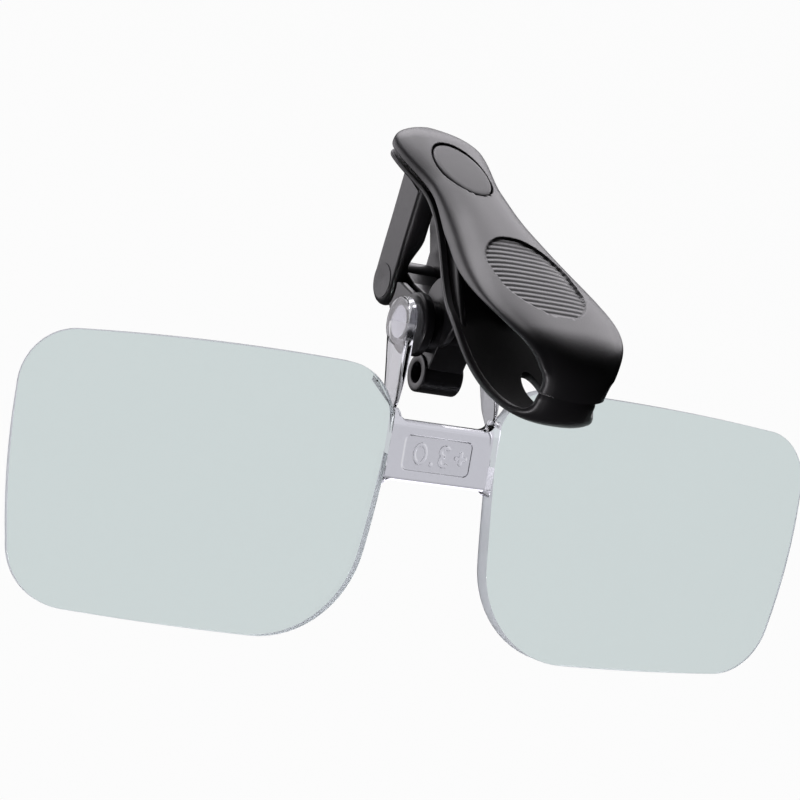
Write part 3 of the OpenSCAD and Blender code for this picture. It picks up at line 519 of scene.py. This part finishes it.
# A helix about the pin, with straight arms leaving it at its top and its bottom, swept with a round wire.
def makeSpring():
    wireHalf, radius, reach = spring["wire"] / 2, spring["radius"], spring["arm"]
    half = lugInner - wireHalf - spring["sideGap"]
    topZ = clip["crownZ"] - upper["wall"] - wireHalf - spring["topGap"]
    floorZ = lowerBottom(reach - spring["y"]) + lower["wall"] + wireHalf + spring["floorGap"]
    rise = math.atan2(topZ - spring["z"] - radius, reach)
    fall = math.atan2(spring["z"] - radius - floorZ, reach)
    start = math.pi / 2 + rise
    end = start - 2 * math.pi * spring["coils"] - math.pi - rise + fall
    u = np.linspace(0, 1, spring["coils"] * spring["perTurn"])
    a = mix(start, end, u)
    coil = [mix(-half, half, u), spring["y"] + radius * np.cos(a), spring["z"] + radius * np.sin(a)]
    coil = np.stack(coil, 1)
    u = np.linspace(0, 1, 8)[1:, None]
    armA = coil[0] + u[::-1] * [0, -reach * math.cos(rise), reach * math.sin(rise)]
    armB = coil[-1] + u * [0, -reach * math.cos(fall), -reach * math.sin(fall)]
    path = np.vstack([armA, coil, armB])
    t = unit(np.gradient(path, axis=0))
    side = unit(np.cross(t, [1.0, 0, 0]))
    q = fullTurn(spring["sides"])[None, :, None]
    points = path[:, None] + wireHalf * (np.cos(q) * side[:, None] + np.sin(q) * np.cross(t, side)[:, None])
    return Shape().add(points, closedFaces(len(path), spring["sides"])).build("jawSpring", 50)


jawSpring = makeSpring()
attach(jawSpring, "clip_top")
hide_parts("jaw_spring")
print("spring wound")


# The link between the legs and the lens.
link = dict(reach=12.7, rise=1.4, barrel=3.2, barrelHalf=3.6, axle=2.0, knuckle=2.8, knuckleHalf=2.3,
            pinBore=0.93, waist=2.2, waistY=-4.2, waistZ=0.2, cheek=1.0, cheekFace=4.0, cheekRoot=2.1,
            legClear=3.6, lobe=4.4, lobeRise=2.5, lobeThick=0.9, tube=2.4, tubeBore=1.3, tubeLength=5.5,
            tubeDrop=5.9, tubeFront=1.4, tubeEdge=0.25, boreEdge=0.12)
lensPivot = (leg["y"] - link["reach"], leg["z"] + link["rise"])


# A washer's section: a rectangle of (x, radius) with its outer edges rounded by edge.
def ringProfile(x0, x1, inner, outer, edge):
    corners = [arc(x0 + edge, outer - edge, edge, 180, 90), arc(x1 - edge, outer - edge, edge, 90, 0)]
    return np.vstack([[[x0, inner]], *corners, [[x1, inner]]])


def circle(y, z, r, n=48):
    return arc(y, z, r, 0, 360 * (n - 1) / n, n)


def around(*circles):  # the outline round all the circles
    return hull2d(np.vstack(circles))


def makeLink():
    by, bz = lensPivot
    ky, kz = leg["y"], leg["z"]
    knuckle, barrel = link["knuckleHalf"], link["barrelHalf"]
    shape = Shape()
    shape.add(*lathe(ringProfile(-knuckle, knuckle, link["pinBore"], link["knuckle"], 0.3), (ky, kz)))
    waist = circle(ky + link["waistY"], kz + link["waistZ"], link["waist"])
    for end in (circle(ky, kz, leg["radius"] - 0.7), circle(by, bz, link["barrel"] - 0.5)):
        shape.add(*plate(evenly(around(end, waist), 120), 0.1 - knuckle, knuckle - 0.1, 0.3))
    lobe = circle(by - 0.4, bz + link["lobeRise"], link["lobe"], 90)
    lobe = around(lobe, circle(by, bz, link["barrel"] - 0.3, 60))
    shape.mirrored(*plate(evenly(lobe, 160), leg["gap"] / 2 - link["lobeThick"], leg["gap"] / 2, 0.28))
    root = circle(ky - leg["radius"] - 1.6, kz + 0.3, link["cheekRoot"])
    cheek = evenly(around(root, circle(by, bz, link["barrel"] - 0.8)), 220)
    # the cheek's end is hollowed to stay clear of the leg's round end
    away = np.hypot(cheek[:, 0] - ky, cheek[:, 1] - kz)
    push = np.where(away < link["legClear"], link["legClear"] / away, 1)
    cheek = np.stack([ky + (cheek[:, 0] - ky) * push, kz + (cheek[:, 1] - kz) * push], 1)
    shape.mirrored(*plate(evenly(cheek, 200), link["cheekFace"] - link["cheek"], link["cheekFace"], 0.22))
    shape.add(*lathe(ringProfile(-barrel, barrel, link["axle"] - 0.02, link["barrel"], 0.25), (by, bz), 96))
    # the open cross tube and its neck
    ty, tz = by - link["tubeFront"], bz - link["tubeDrop"]
    half, edge, small = link["tubeLength"] / 2, link["tubeEdge"], link["boreEdge"]
    outer, bore = link["tube"] - edge, link["tubeBore"] + small
    tube = np.vstack([arc(small - half, bore, small, 270, 180, 4), arc(edge - half, outer, edge, 180, 90),
                      arc(half - edge, outer, edge, 90, 0), arc(half - small, bore, small, 0, -90, 4)])
    shape.add(*lathe(tube, (ty, tz), 96))
    neck = [ty, tz] + np.array([[-1.8, 1.7], [2.0, 1.5], [3.3, 4.0], [3.3, 5.5], [-1.8, 5.5]])
    shape.add(*plate(evenly(neck, 120), 0.3 - half, half - 0.3, 0.2))
    return shape.build("hingeLink", 40)


hingeLink = makeLink()
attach(hingeLink, "link")
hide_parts("hinge_link")


# Friction discs: domed, with rounded rims.
disc = dict(x=4.02, thick=1.75, radius=3.95, bore=1.99, dome=0.5, domePower=2.2, edge=0.3, backEdge=0.15)


def makeDisc(name, side):
    x0, x1, bore = disc["x"], disc["x"] + disc["thick"], disc["bore"]
    flat = disc["radius"] - disc["edge"]
    s = np.linspace(bore, flat, 14)
    dome = np.stack([x1 - disc["dome"] * ((s - bore) / (flat - bore)) ** disc["domePower"], s], 1)
    rim = arc(x1 - disc["dome"] - disc["edge"], flat, disc["edge"], 0, 90, 7)
    heel = arc(x0 + disc["backEdge"], disc["radius"] - disc["backEdge"], disc["backEdge"], 180, 90, 4)
    points, faces = lathe(np.vstack([[[x0, bore]], heel, rim[::-1], dome[::-1]]), lensPivot, 96)
    return Shape().add(points * [side, 1, 1], faces).build(name, 50)


discs = []
for name, side, node in (("frictionDiscLeft", -1, "friction_disc_left"),
                         ("frictionDiscRight", 1, "friction_disc_right")):
    piece = makeDisc(name, side)
    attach(piece, "link")
    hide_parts(node)
    discs.append(piece)
print("link and discs made")


# The clear lens moulding.
lens = dict(tilt=27, spacing=62, drop=22.65, front=5.2, topWidth=49, lowWidth=42.75, lean=0.1, height=34.75,
            fall=1.35, corners=(7.3, 7.0, 8.0, 13.0), bulges=(0.44, 0.44, 0.1, 0.1), curve=163, thick=3.5,
            decentre=5.8, thinnest=0.35, edge=0.14)
bridge = dict(height=7.5, top=11.1, thick=2.4, topEdge=0.8, lowEdge=0.4, backEdge=0.15, fillet=1.6,
              panelLength=10.0, panelHeight=4.5, panelDepth=0.2, panelCorner=0.8,
              digitHeight=2.7, digitRise=0.12, digitStroke=0.075, plusX=-3.25, plusHalf=0.65, threeX=-1.0,
              pointX=0.75, noughtX=2.4, noughtWidth=0.29)
arm = dict(inner=6.02, thick=1.15, overhang=0.45, boss=3.25, seat=0.75, seatRadius=2.03, webLength=3.6,
           webHeight=1.5, webThick=0.7, back=1.6, recess=0.9, footDrop=1.9, taper=4.5, squareness=0.36)
lensX = lens["spacing"] / 2
lensBack = -lens["front"] + lens["thick"]
bridgeFront = lensBack - bridge["thick"]
bridgeLow = bridge["top"] - bridge["height"]
bridge["panelZ"] = bridge["top"] - bridge["height"] / 2 - 0.2
# colours of the clear moulding's parts, and how hazy its faces are, from the polished ones to the ground
# edge;
# the arm, boss and web colours are darkened as painted shade
acrylic = dict(lens=(0.652, 0.72, 0.722), bridge=(0.56, 0.56, 0.615), arm=(0.36, 0.36, 0.385),
               boss=(0.5, 0.5, 0.53), web=(0.3, 0.29, 0.32), ground=(0.66, 0.65, 0.72),
               clear=0.015, satin=0.1, hazy=0.35, matt=1.0, ior=1.49,
               # painted light and shade on the bridge: lit and unlit slopes, the panel's sunk floor, the top
               # and low edges
               paintedPanelShade=0.9, lit=0.8, unlit=0.5, paintedTopHighlight=1.35, paintedLowEdgeShade=0.5, brightest=0.95)


def roundedCorner(before, at, after, r, n=16):
    u = (before - at) / np.linalg.norm(before - at)
    v = (after - at) / np.linalg.norm(after - at)
    half = math.acos(float(u @ v)) / 2
    mid = (u + v) / np.linalg.norm(u + v)
    centre = at + mid * r / math.sin(half)
    a, b = at + u * r / math.tan(half) - centre, at + v * r / math.tan(half) - centre
    a0, a1 = math.atan2(a[1], a[0]), math.atan2(b[1], b[0])
    turn = (a1 - a0 + 3 * math.pi) % (2 * math.pi) - math.pi
    q = a0 + turn * np.linspace(0, 1, n)
    return centre + r * np.stack([np.cos(q), np.sin(q)], 1)


# Four corners turned to arcs, joined by sides that bulge out by 4 s t (1 - t).
def lensOutline(count=260):
    w, h = lens["topWidth"] / 2, lens["height"] / 2
    low, lowX, fallen = lens["lowWidth"] / 2, lensX + lens["lean"], h - lens["fall"]
    p = np.array([[lensX - w, h], [lensX + w, fallen], [lowX + low, -fallen], [lowX - low, -h]])
    arcs = [roundedCorner(p[k - 1], p[k], p[(k + 1) % 4], lens["corners"][k]) for k in range(4)]
    run = []
    for k in range(4):
        a, b = arcs[k][-1], arcs[(k + 1) % 4][0]
        t = np.linspace(0, 1, 22)[1:-1, None]
        normal = np.array([a[1] - b[1], b[0] - a[0]]) / np.linalg.norm(b - a)
        run += [arcs[k], mix(a, b, t) + normal * lens["bulges"][k] * 4 * t * (1 - t)]
    return evenly(np.vstack(run), count)


def lensFront(x, z):  # y of the curved front: the lens is R - sqrt(R^2 - d^2) thinner at distance d
    d2 = (x - (lensX - lens["decentre"])) ** 2 + z ** 2
    thick = lens["thick"] - lens["curve"] + np.sqrt(lens["curve"] ** 2 - d2)
    return lensBack - np.maximum(thick, lens["thinnest"])


# Rings that shrink the outline to its middle, curved in front and flat behind, with small rounds between.
def lensSurface():
    outline = lensOutline()
    centre, inward, e = outline.mean(0), inwardNormals(outline), lens["edge"]
    edgeRing = outline + inward * e
    shrink = np.concatenate([[0.0005], np.linspace(0.06, 0.98, 26), [1]])
    disk = centre + (edgeRing - centre)[None] * shrink[:, None, None]
    q = np.radians([22.5, 45, 67.5, 90])[:, None]
    sides, run = outline + inward * (e * (1 - np.sin(q)))[..., None], e * (1 - np.cos(q))
    rings = np.concatenate([disk, sides, sides[::-1], disk[::-1]])
    front, edge = lensFront(disk[..., 0], disk[..., 1]), lensFront(edgeRing[:, 0], edgeRing[:, 1])
    ys = np.full(rings.shape[:2], lensBack)
    ys[:len(disk)] = front
    ys[len(disk):len(disk) + len(q)] = edge + run
    ys[len(disk) + len(q):-len(disk)] -= run[::-1]
    return np.stack([rings[..., 0], ys, rings[..., 1] - lens["drop"]], -1), closedFaces(*ys.shape)


def nasal(z):
    top, low = lensX - lens["topWidth"] / 2, lensX + lens["lean"] - lens["lowWidth"] / 2
    return mix(low, top, (z + lens["height"] / 2) / lens["height"])


# Height of the plus three point nought: near each stroke's middle line it rises, by the distance to segments,
# to part circles for the three and to a long ring for the nought. x runs to the reader's right, from behind.
def numberRelief(x, z):
    h, w = bridge["digitHeight"], bridge["digitHeight"] * bridge["digitStroke"]
    plusX = np.abs(x - bridge["plusX"])
    bar = np.hypot(np.maximum(plusX - bridge["plusHalf"], 0), z)
    post = np.hypot(plusX, np.maximum(np.abs(z) - bridge["plusHalf"], 0))
    d = np.minimum(bar, post)
    r = h / 4 - w / 2
    for s in (-1, 1):
        dx, dz = x - bridge["threeX"], z - s * (r + 0.01)
        angle = np.degrees(np.arctan2(dz * s, dx))
        gap = (angle > 150) | (angle < -91)
        d = np.where(gap, d, np.minimum(d, np.abs(np.hypot(dx, dz) - r)))
    d = np.minimum(d, np.hypot(x - bridge["pointX"], z + h / 2 - w))
    tall = h / 2 - w
    nought = np.abs(np.hypot((x - bridge["noughtX"]) * tall / (h * bridge["noughtWidth"]), z) - tall)
    return bridge["digitRise"] * ease((w + 0.09 - np.minimum(d, nought)) / 0.14)


# Loops round the bridge at each x: up its front, over the rounded top, down its back with panel and number.
def bridgeSurface():
    end = nasal(bridge["top"]) + 0.35
    panelEnd = bridge["panelLength"] / 2 + 0.6
    outer = np.linspace(panelEnd, end, 22)[1:]
    xs = np.concatenate([-outer[::-1], np.linspace(-panelEnd, panelEnd, 170), outer])
    f = bridge["fillet"]
    startTop, startLow = arm["inner"] + arm["thick"] - 0.45 - f, nasal(bridgeLow) - f
    flare = lambda start: f - np.sqrt(np.maximum(f ** 2 - np.clip(np.abs(xs) - start, 0, f * 0.98) ** 2, 0))
    zTop, zLow = bridge["top"] + flare(startTop), bridgeLow - flare(startLow)
    t = np.linspace(0, 1, 30)[None, :]
    zFront = mix(zLow[:, None], zTop[:, None], t)
    fromTop, fromLow = zTop[:, None] - zFront, zFront - zLow[:, None]
    roundTo = lambda d, r: r - np.sqrt(np.maximum(r ** 2 - np.clip(r - d, 0, r) ** 2, 0))
    yFront = bridgeFront + roundTo(fromTop, bridge["topEdge"]) + roundTo(fromLow, bridge["lowEdge"])
    tb = np.linspace(1, 0, 120)[None, :]
    zBack = mix(zLow[:, None], zTop[:, None], tb)
    x2 = np.broadcast_to(xs[:, None], zBack.shape)
    yBack = lensBack + panelHeight(x2, zBack - bridge["panelZ"])
    for inside in (zTop[:, None] - zBack, zBack - zLow[:, None]):
        yBack = yBack - roundTo(inside, bridge["backEdge"])
    loopZ = np.concatenate([zFront, zBack], 1)
    loopY = np.concatenate([yFront, yBack], 1)
    loopX = np.broadcast_to(xs[:, None], loopZ.shape)
    return np.stack([loopX, loopY, loopZ - lens["drop"]], -1), closedFaces(*loopZ.shape)


# Rounded-rectangle sections stacked from a point in the lens's corner up to the hinge's axis: the blade's
# width and its thickness both grow with the share of the height that has been climbed.
def armSurface():
    foot, top = bridge["top"] - arm["footDrop"], lens["drop"]
    z = np.linspace(foot, top, 80)
    grown = ease((z - foot) / arm["taper"])
    outer = arm["inner"] + arm["thick"]
    xi = mix(outer - 0.15, arm["inner"], ease((z - foot) / (top - arm["boss"] - foot)))
    yf = mix(lensBack - 0.2, bridgeFront + arm["recess"], grown)
    yf = mix(yf, -arm["boss"] + 0.1, ease((z - top + arm["boss"] * 2) / (arm["boss"] * 2)))
    climbed = held((z - bridge["top"]) / (top - bridge["top"]))
    yb = mix(lensBack, mix(lensBack + arm["back"], arm["boss"] - 0.1, climbed), grown)
    q = fullTurn(48)
    sx, sy = [np.sign(v) * np.abs(v) ** arm["squareness"] for v in (np.cos(q), np.sin(q))]
    x = mix(xi[:, None], outer, (1 + sx[None]) / 2)
    y = (yf + yb)[:, None] / 2 + (yb - yf)[:, None] / 2 * sy[None]
    zz = np.broadcast_to(z[:, None] - lens["drop"], x.shape)
    return np.stack([x, y, zz], -1), closedFaces(*x.shape)


def bossSurface():
    x0, x1, r = arm["inner"], arm["inner"] + arm["thick"], arm["boss"]
    seat = [[x0 + arm["seat"], 0.01], [x0 + arm["seat"], arm["seatRadius"]], [x0, arm["seatRadius"]]]
    profile = np.vstack([seat, arc(x0 + 0.3, r - 0.3, 0.3, 180, 90), arc(x1 - 0.4, r - 0.4, 0.4, 90, 0, 9),
                         [[x1 + 0.02, r * 0.5], [x1 + 0.03, 0.01]]])
    return lathe(profile, (0, 0), 96)


# The web beside an arm: a thin plate across Y, in the lens's thickness, with a quarter-round hollow outside.
def webSurface():
    x0 = lensX - lens["topWidth"] / 2 - arm["overhang"] + arm["thick"]
    z0, h, l = lens["height"] / 2 - 1.2, arm["webHeight"], arm["webLength"]
    q = np.radians(np.linspace(4, 84, 20))
    outline = np.vstack([[[x0 - 0.1, z0 + h + 0.3], [x0 - 0.1, z0 - 4.5], [x0 + l, z0 - 1]],
                         np.stack([x0 + l * (1 - np.sin(q)), z0 + h * (1 - np.cos(q))], 1)])
    points, faces = plate(evenly(outline, 120), lensBack - arm["webThick"], lensBack, 0.15, 3)
    x, y, z = points.reshape(-1, 3)[:, [1, 0, 2]].T
    return np.stack([x, y, z - lens["drop"]], 1), [f[::-1] for f in faces]


# One closed skin from overlapping closed solids, by exact union; the parts are then removed.
def joined(objects):
    base = objects[0]
    for other in objects[1:]:
        cut = base.modifiers.new("join", "BOOLEAN")
        cut.operation, cut.solver, cut.object, cut.material_mode = "UNION", "EXACT", other, "TRANSFER"
    graph = bpy.context.evaluated_depsgraph_get()
    mesh = bpy.data.meshes.new_from_object(base.evaluated_get(graph))
    for obj in objects:
        bpy.data.objects.remove(obj)
    return mesh


# Height of the back's relief over the panel's surroundings: the floor is sunk, and the number stands on it.
def panelHeight(x, z):
    hx, hz, rc = bridge["panelLength"] / 2 - 0.25, bridge["panelHeight"] / 2, bridge["panelCorner"]
    qx, qz = np.abs(x) - hx + rc, np.abs(z) - hz + rc
    outside = np.hypot(np.maximum(qx, 0), np.maximum(qz, 0)) + np.minimum(np.maximum(qx, qz), 0) - rc
    return np.where(outside < -0.25, numberRelief(-x, z), 0) - bridge["panelDepth"] * ease(-outside / 0.2)


# Each face's colour and, as alpha, its haze, by the part that it comes from. On the bridge, light and shade
# are painted
# into the colour: lit or shaded by the slope of the relief along a line, (h(p + s) - h(p - s)) / 2s, painted
# shade on the panel's sunk floor and the low edge, and a painted highlight on the rounded top edge.
def paintLens(mesh, names):
    count = len(mesh.polygons)
    centre, normal = np.empty(count * 3), np.empty(count * 3)
    kind, loops = np.empty(count, int), np.empty(count, int)
    mesh.polygons.foreach_get("center", centre)
    mesh.polygons.foreach_get("normal", normal)
    mesh.polygons.foreach_get("material_index", kind)
    mesh.polygons.foreach_get("loop_total", loops)
    x, y, z = (centre.reshape(-1, 3) / mm + [0, 0, lens["drop"]]).T
    part = np.array([name.split(".")[0] for name in names])[kind]
    colour = np.tile(np.array([*acrylic["lens"], acrylic["clear"]]), (count, 1))
    ground = (part == "lens") & (np.abs(normal[1::3]) < 0.75)
    colour[ground] = [*acrylic["ground"], acrylic["matt"]]
    # the arms, bosses and webs get darker colours: painted shade on the clear moulding
    for name in ("arm", "boss", "web"):
        colour[part == name] = [*acrylic[name], acrylic["hazy" if name == "web" else "clear"]]
    step, pz, behind = 0.06, z - bridge["panelZ"], y > lensBack - 0.6
    # painted light and shade on the bridge's relief, and a painted highlight on its rounded top edge
    slope = (panelHeight(x - step, pz - step) - panelHeight(x + step, pz + step)) / (2 * step)
    shade = 1 + np.clip(slope, -1, 1) * np.where(slope > 0, acrylic["lit"], acrylic["unlit"]) * behind
    shade *= mix(1, acrylic["paintedPanelShade"], ease(-panelHeight(x, pz) / bridge["panelDepth"]) * behind)
    shade *= mix(1, acrylic["paintedTopHighlight"], ease((z - bridge["top"] + 0.9) / 0.5) * ~behind)
    shade *= mix(1, acrylic["paintedLowEdgeShade"], ease((bridgeLow + 0.45 - z) / 0.25))
    onBridge = part == "bridge"
    shaded = np.array(acrylic["bridge"]) * shade[onBridge, None]
    colour[onBridge, :3] = np.minimum(shaded, acrylic["brightest"])
    colour[onBridge, 3] = acrylic["satin"]
    tint = mesh.color_attributes.new("tint", "FLOAT_COLOR", "CORNER")
    tint.data.foreach_set("color", np.repeat(colour, loops, axis=0).astype(np.float32).ravel())
    mesh.polygons.foreach_set("material_index", np.zeros(count, int))
    mesh.materials.clear()


def makeLens():
    surfaces = (("bridge", bridgeSurface), ("lens", lensSurface), ("arm", armSurface), ("boss", bossSurface),
                ("web", webSurface))
    parts = []
    for name, surface in surfaces:
        points, faces = surface()
        points, mark = points.reshape(-1, 3), bpy.data.materials.new(name)
        parts.append(makeObject(name + "Right", points, faces))
        if name != "bridge":
            parts.append(makeObject(name + "Left", points * [-1, 1, 1], [f[::-1] for f in faces]))
        for obj in parts[-2:]:
            if not obj.data.materials:
                obj.data.materials.append(mark)
    mesh = joined(parts)
    paintLens(mesh, [material.name for material in mesh.materials])
    axis = Vector((0, *lensPivot)) * mm
    mesh.transform(Matrix.Translation(axis) @ Matrix.Rotation(math.radians(-lens["tilt"]), 4, "X"))
    mesh.name = "lensPair"
    mesh.shade_smooth()
    mesh.set_sharp_from_angle(angle=math.radians(28))
    return newObject("lensPair", mesh)


lensPair = makeLens()
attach(lensPair, "lens_pair")
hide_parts("lens")
print("lens pair:", len(lensPair.data.polygons), "faces")


# Materials.
def feed(tree, node, inputs):  # an input is linked to a socket, or set to a value
    for name, value in inputs.items():
        if isinstance(value, bpy.types.NodeSocket):
            tree.links.new(value, node.inputs[name])
        else:
            node.inputs[name].default_value = value
    return node.outputs


def addNode(tree, kind, inputs, operation=None):
    node = tree.nodes.new(kind)
    if operation:
        node.operation = operation
    return feed(tree, node, inputs)


def times(tree, a, b):
    return addNode(tree, "ShaderNodeMath", {0: a, 1: b}, "MULTIPLY")["Value"]


def scaled(tree, colour, factor):
    return addNode(tree, "ShaderNodeVectorMath", {0: colour, "Scale": factor}, "SCALE")["Vector"]


def spread(tree, value, low, high):
    return addNode(tree, "ShaderNodeMapRange", {"Value": value, "To Min": low, "To Max": high})["Result"]


def bump(tree, value, distance, strength):
    inputs = {"Height": value, "Distance": distance, "Strength": strength}
    return addNode(tree, "ShaderNodeBump", inputs)["Normal"]


def blend(tree, share, first, second):
    return addNode(tree, "ShaderNodeMixShader", {"Fac": share, 1: first, 2: second})["Shader"]


def attribute(tree, name):
    node = tree.nodes.new("ShaderNodeAttribute")
    node.attribute_name = name
    return node.outputs


def noise(tree, scale, detail, roughness=0.6, stretch=None):
    place = addNode(tree, "ShaderNodeTexCoord", {})["Object"]
    if stretch:
        place = addNode(tree, "ShaderNodeMapping", {"Vector": place, "Scale": stretch})["Vector"]
    inputs = {"Vector": place, "Scale": scale, "Detail": detail, "Roughness": roughness}
    return addNode(tree, "ShaderNodeTexNoise", inputs)["Fac"]


def ramp(tree, value, low, high, colours):
    node = tree.nodes.new("ShaderNodeValToRGB")
    for element, position, colour in zip(node.color_ramp.elements, (low, high), colours):
        element.position, element.color = position, (*colour, 1)
    return feed(tree, node, {"Fac": value})["Color"]


def newMaterial(name):
    material = bpy.data.materials.new(name)
    material.use_nodes = True
    return material, material.node_tree, material.node_tree.nodes["Principled BSDF"]


# each plastic's inside factors: one darkens the channels' inner faces as painted shade, the other makes them
# duller
clipPlastic = dict(low=(0.020, 0.0192, 0.0212), high=(0.025, 0.0241, 0.0265), grainScale=6500, cloudScale=160,
                   roughness=(0.33, 0.43), grainDepth=0.00003, grainStrength=0.4, specular=0.5,
                   paintedInsideShade=0.2, insideDull=2.1)
linkPlastic = dict(low=(0.012, 0.0117, 0.013), high=(0.016, 0.0157, 0.017), grainScale=5200, cloudScale=220,
                   roughness=(0.27, 0.37), grainDepth=0.00002, grainStrength=0.25, specular=0.5,
                   paintedInsideShade=1, insideDull=1)
steel = dict(low=(0.48, 0.48, 0.5), high=(0.62, 0.62, 0.64), lineScale=900, roughness=(0.22, 0.38),
             lineDepth=0.00001, lineStrength=0.3)


# A cloud varies the colour and a fine grain the gloss; the channels' inner faces are duller, and darker by
# painted shade.
def mouldedPlastic(name, look):
    material, tree, shader = newMaterial(name)
    cloud, grain = noise(tree, look["cloudScale"], 4), noise(tree, look["grainScale"], 2, 0.5)
    inside = attribute(tree, "inside")["Fac"]
    shade, dull = [spread(tree, inside, 1, look[key]) for key in ("paintedInsideShade", "insideDull")]
    feed(tree, shader, {
        "Base Color": scaled(tree, ramp(tree, cloud, 0.3, 0.7, (look["low"], look["high"])), shade),
        "Roughness": times(tree, spread(tree, grain, *look["roughness"]), dull),
        "Specular IOR Level": look["specular"],
        "Normal": bump(tree, grain, look["grainDepth"], look["grainStrength"])})
    return material


def brushedSteel(name, along):
    material, tree, shader = newMaterial(name)
    lines = noise(tree, steel["lineScale"], 3, 0.6, along)
    feed(tree, shader, {
        "Base Color": ramp(tree, lines, 0.25, 0.75, (steel["low"], steel["high"])),
        "Roughness": spread(tree, lines, *steel["roughness"]),
        "Metallic": 1,
        "Normal": bump(tree, lines, steel["lineDepth"], steel["lineStrength"])})
    return material


# The tint attribute gives the colour and, as alpha, the haze; a faint cloud varies both.
def clearAcrylic(name):
    material, tree, shader = newMaterial(name)
    cloud, tint = noise(tree, 90, 3), attribute(tree, "tint")
    feed(tree, shader, {
        "Base Color": scaled(tree, tint["Color"], spread(tree, cloud, 0.985, 1.0)),
        "Roughness": times(tree, tint["Alpha"], spread(tree, cloud, 0.7, 1.3)),
        "IOR": acrylic["ior"],
        "Transmission Weight": 1})
    return material


def dress(obj, material):
    obj.data.materials.clear()
    obj.data.materials.append(material)


clipMaterial = mouldedPlastic("clipPlastic", clipPlastic)
badgeMaterial = mouldedPlastic("badgePlastic", dict(clipPlastic, roughness=(0.38, 0.46), specular=0.36))
linkMaterial = mouldedPlastic("linkPlastic", linkPlastic)
pinMaterial = brushedSteel("turnedSteel", (1, 12, 12))
for piece in (upperJaw, lowerJaw):
    dress(piece, clipMaterial)
dress(badgeDisc, badgeMaterial)
for piece in [hingeLink] + discs:
    dress(piece, linkMaterial)
dress(jawSpring, brushedSteel("springWire", (12, 1, 1)))
dress(lensPair, clearAcrylic("clearAcrylic"))
for name in ("jaw_pin", "link_pin", "lens_axle"):
    dress(nodes[name], pinMaterial)
print("materials made")


# Floor, light and camera.
stage = dict(floorZ=-280, floorSize=6000, floorColour=(0.12, 0.12, 0.12), whiteShare=0.97, worldLight=0.02,
             lightColour=(0.985, 0.955, 1.0), keyPower=2.6, keySize=(0.75, 0.36), keyPlace=(240, 520, 195),
             sidePower=0.62, sideSize=(0.44, 0.24), sidePlace=(-250, 385, -140),
             topPower=1.0, topSize=(0.55, 0.2), topPlace=(-110, 430, 303),
             edgePower=0.5, edgeSize=(0.06, 0.06), edgePlace=(-335, -270, -122), aim=(0, -25, -10))


def seenStraight(tree):  # 1 for rays that reach the eye directly or through the clear moulding
    rays = addNode(tree, "ShaderNodeLightPath", {})
    inputs = {0: rays["Is Camera Ray"], 1: rays["Is Transmission Ray"]}
    return addNode(tree, "ShaderNodeMath", inputs, "MAXIMUM")["Value"]


def makeFloor():
    s, z = stage["floorSize"], stage["floorZ"]
    corners = np.array([[-s, -s, z], [s, -s, z], [s, s, z], [-s, s, z]]) * mm
    mesh = bpy.data.meshes.new("floor")
    mesh.from_pydata(corners.tolist(), [], [[0, 1, 2, 3]])
    material, tree, shader = newMaterial("paleFloor")
    matt = (*stage["floorColour"], 1)
    feed(tree, shader, {"Base Color": matt, "Roughness": 0.9, "Specular IOR Level": 0.1})
    white = addNode(tree, "ShaderNodeEmission", {})["Emission"]
    share = times(tree, seenStraight(tree), stage["whiteShare"])
    shown = blend(tree, share, shader.outputs["BSDF"], white)
    # seen from beneath, the floor lets the view through
    back = addNode(tree, "ShaderNodeNewGeometry", {})["Backfacing"]
    clear = addNode(tree, "ShaderNodeBsdfTransparent", {})["BSDF"]
    feed(tree, tree.nodes["Material Output"], {"Surface": blend(tree, back, shown, clear)})
    mesh.materials.append(material)
    newObject("floor", mesh)


def makeWorld():
    world = bpy.data.worlds.new("studio")
    bpy.context.scene.world = world
    world.use_nodes = True
    tree = world.node_tree
    white = (1, 1, 1, 1)
    dim = feed(tree, tree.nodes["Background"], {"Color": white, "Strength": stage["worldLight"]})
    full = addNode(tree, "ShaderNodeBackground", {"Color": white})
    shown = blend(tree, seenStraight(tree), dim["Background"], full["Background"])
    feed(tree, tree.nodes["World Output"], {"Surface": shown})


def makeLight(name, place, size, power):
    light = bpy.data.lights.new(name, "AREA")
    light.shape = "RECTANGLE"
    light.size, light.size_y = size
    light.energy, light.color = power, stage["lightColour"]
    obj = newObject(name, light)
    obj.location = Vector(place) * mm
    aim = Vector(stage["aim"]) * mm - obj.location
    obj.rotation_euler = aim.to_track_quat("-Z", "Y").to_euler()


view = dict(place=(-162.54, -289.15, 132.56), azimuth=30.897, elevation=26.701, roll=23.282,
            lens=126, sensor=36, nearest=0.01, farthest=20)


# Looks along (sin az cos el, cos az cos el, -sin el), then rolls about that line.
def makeCamera():
    az, el, roll = [math.radians(view[k]) for k in ("azimuth", "elevation", "roll")]
    forward = Vector((math.sin(az) * math.cos(el), math.cos(az) * math.cos(el), -math.sin(el)))
    level = Vector((math.cos(az), -math.sin(az), 0))
    upright = level.cross(forward)
    right = level * math.cos(roll) + upright * math.sin(roll)
    up = upright * math.cos(roll) - level * math.sin(roll)
    data = bpy.data.cameras.new("camera")
    data.lens, data.sensor_width = view["lens"], view["sensor"]
    data.clip_start, data.clip_end = view["nearest"], view["farthest"]
    obj = newObject("camera", data)
    turn = Matrix((right, up, -forward)).transposed().to_4x4()
    obj.matrix_world = Matrix.Translation(Vector(view["place"]) * mm) @ turn
    bpy.context.scene.camera = obj


makeFloor()
makeWorld()
for name in ("key", "side", "top", "edge"):
    makeLight(name + "Light", stage[name + "Place"], stage[name + "Size"], stage[name + "Power"])
makeCamera()
bpy.context.scene.view_settings.view_transform = "Standard"

bpy.context.view_layer.update()
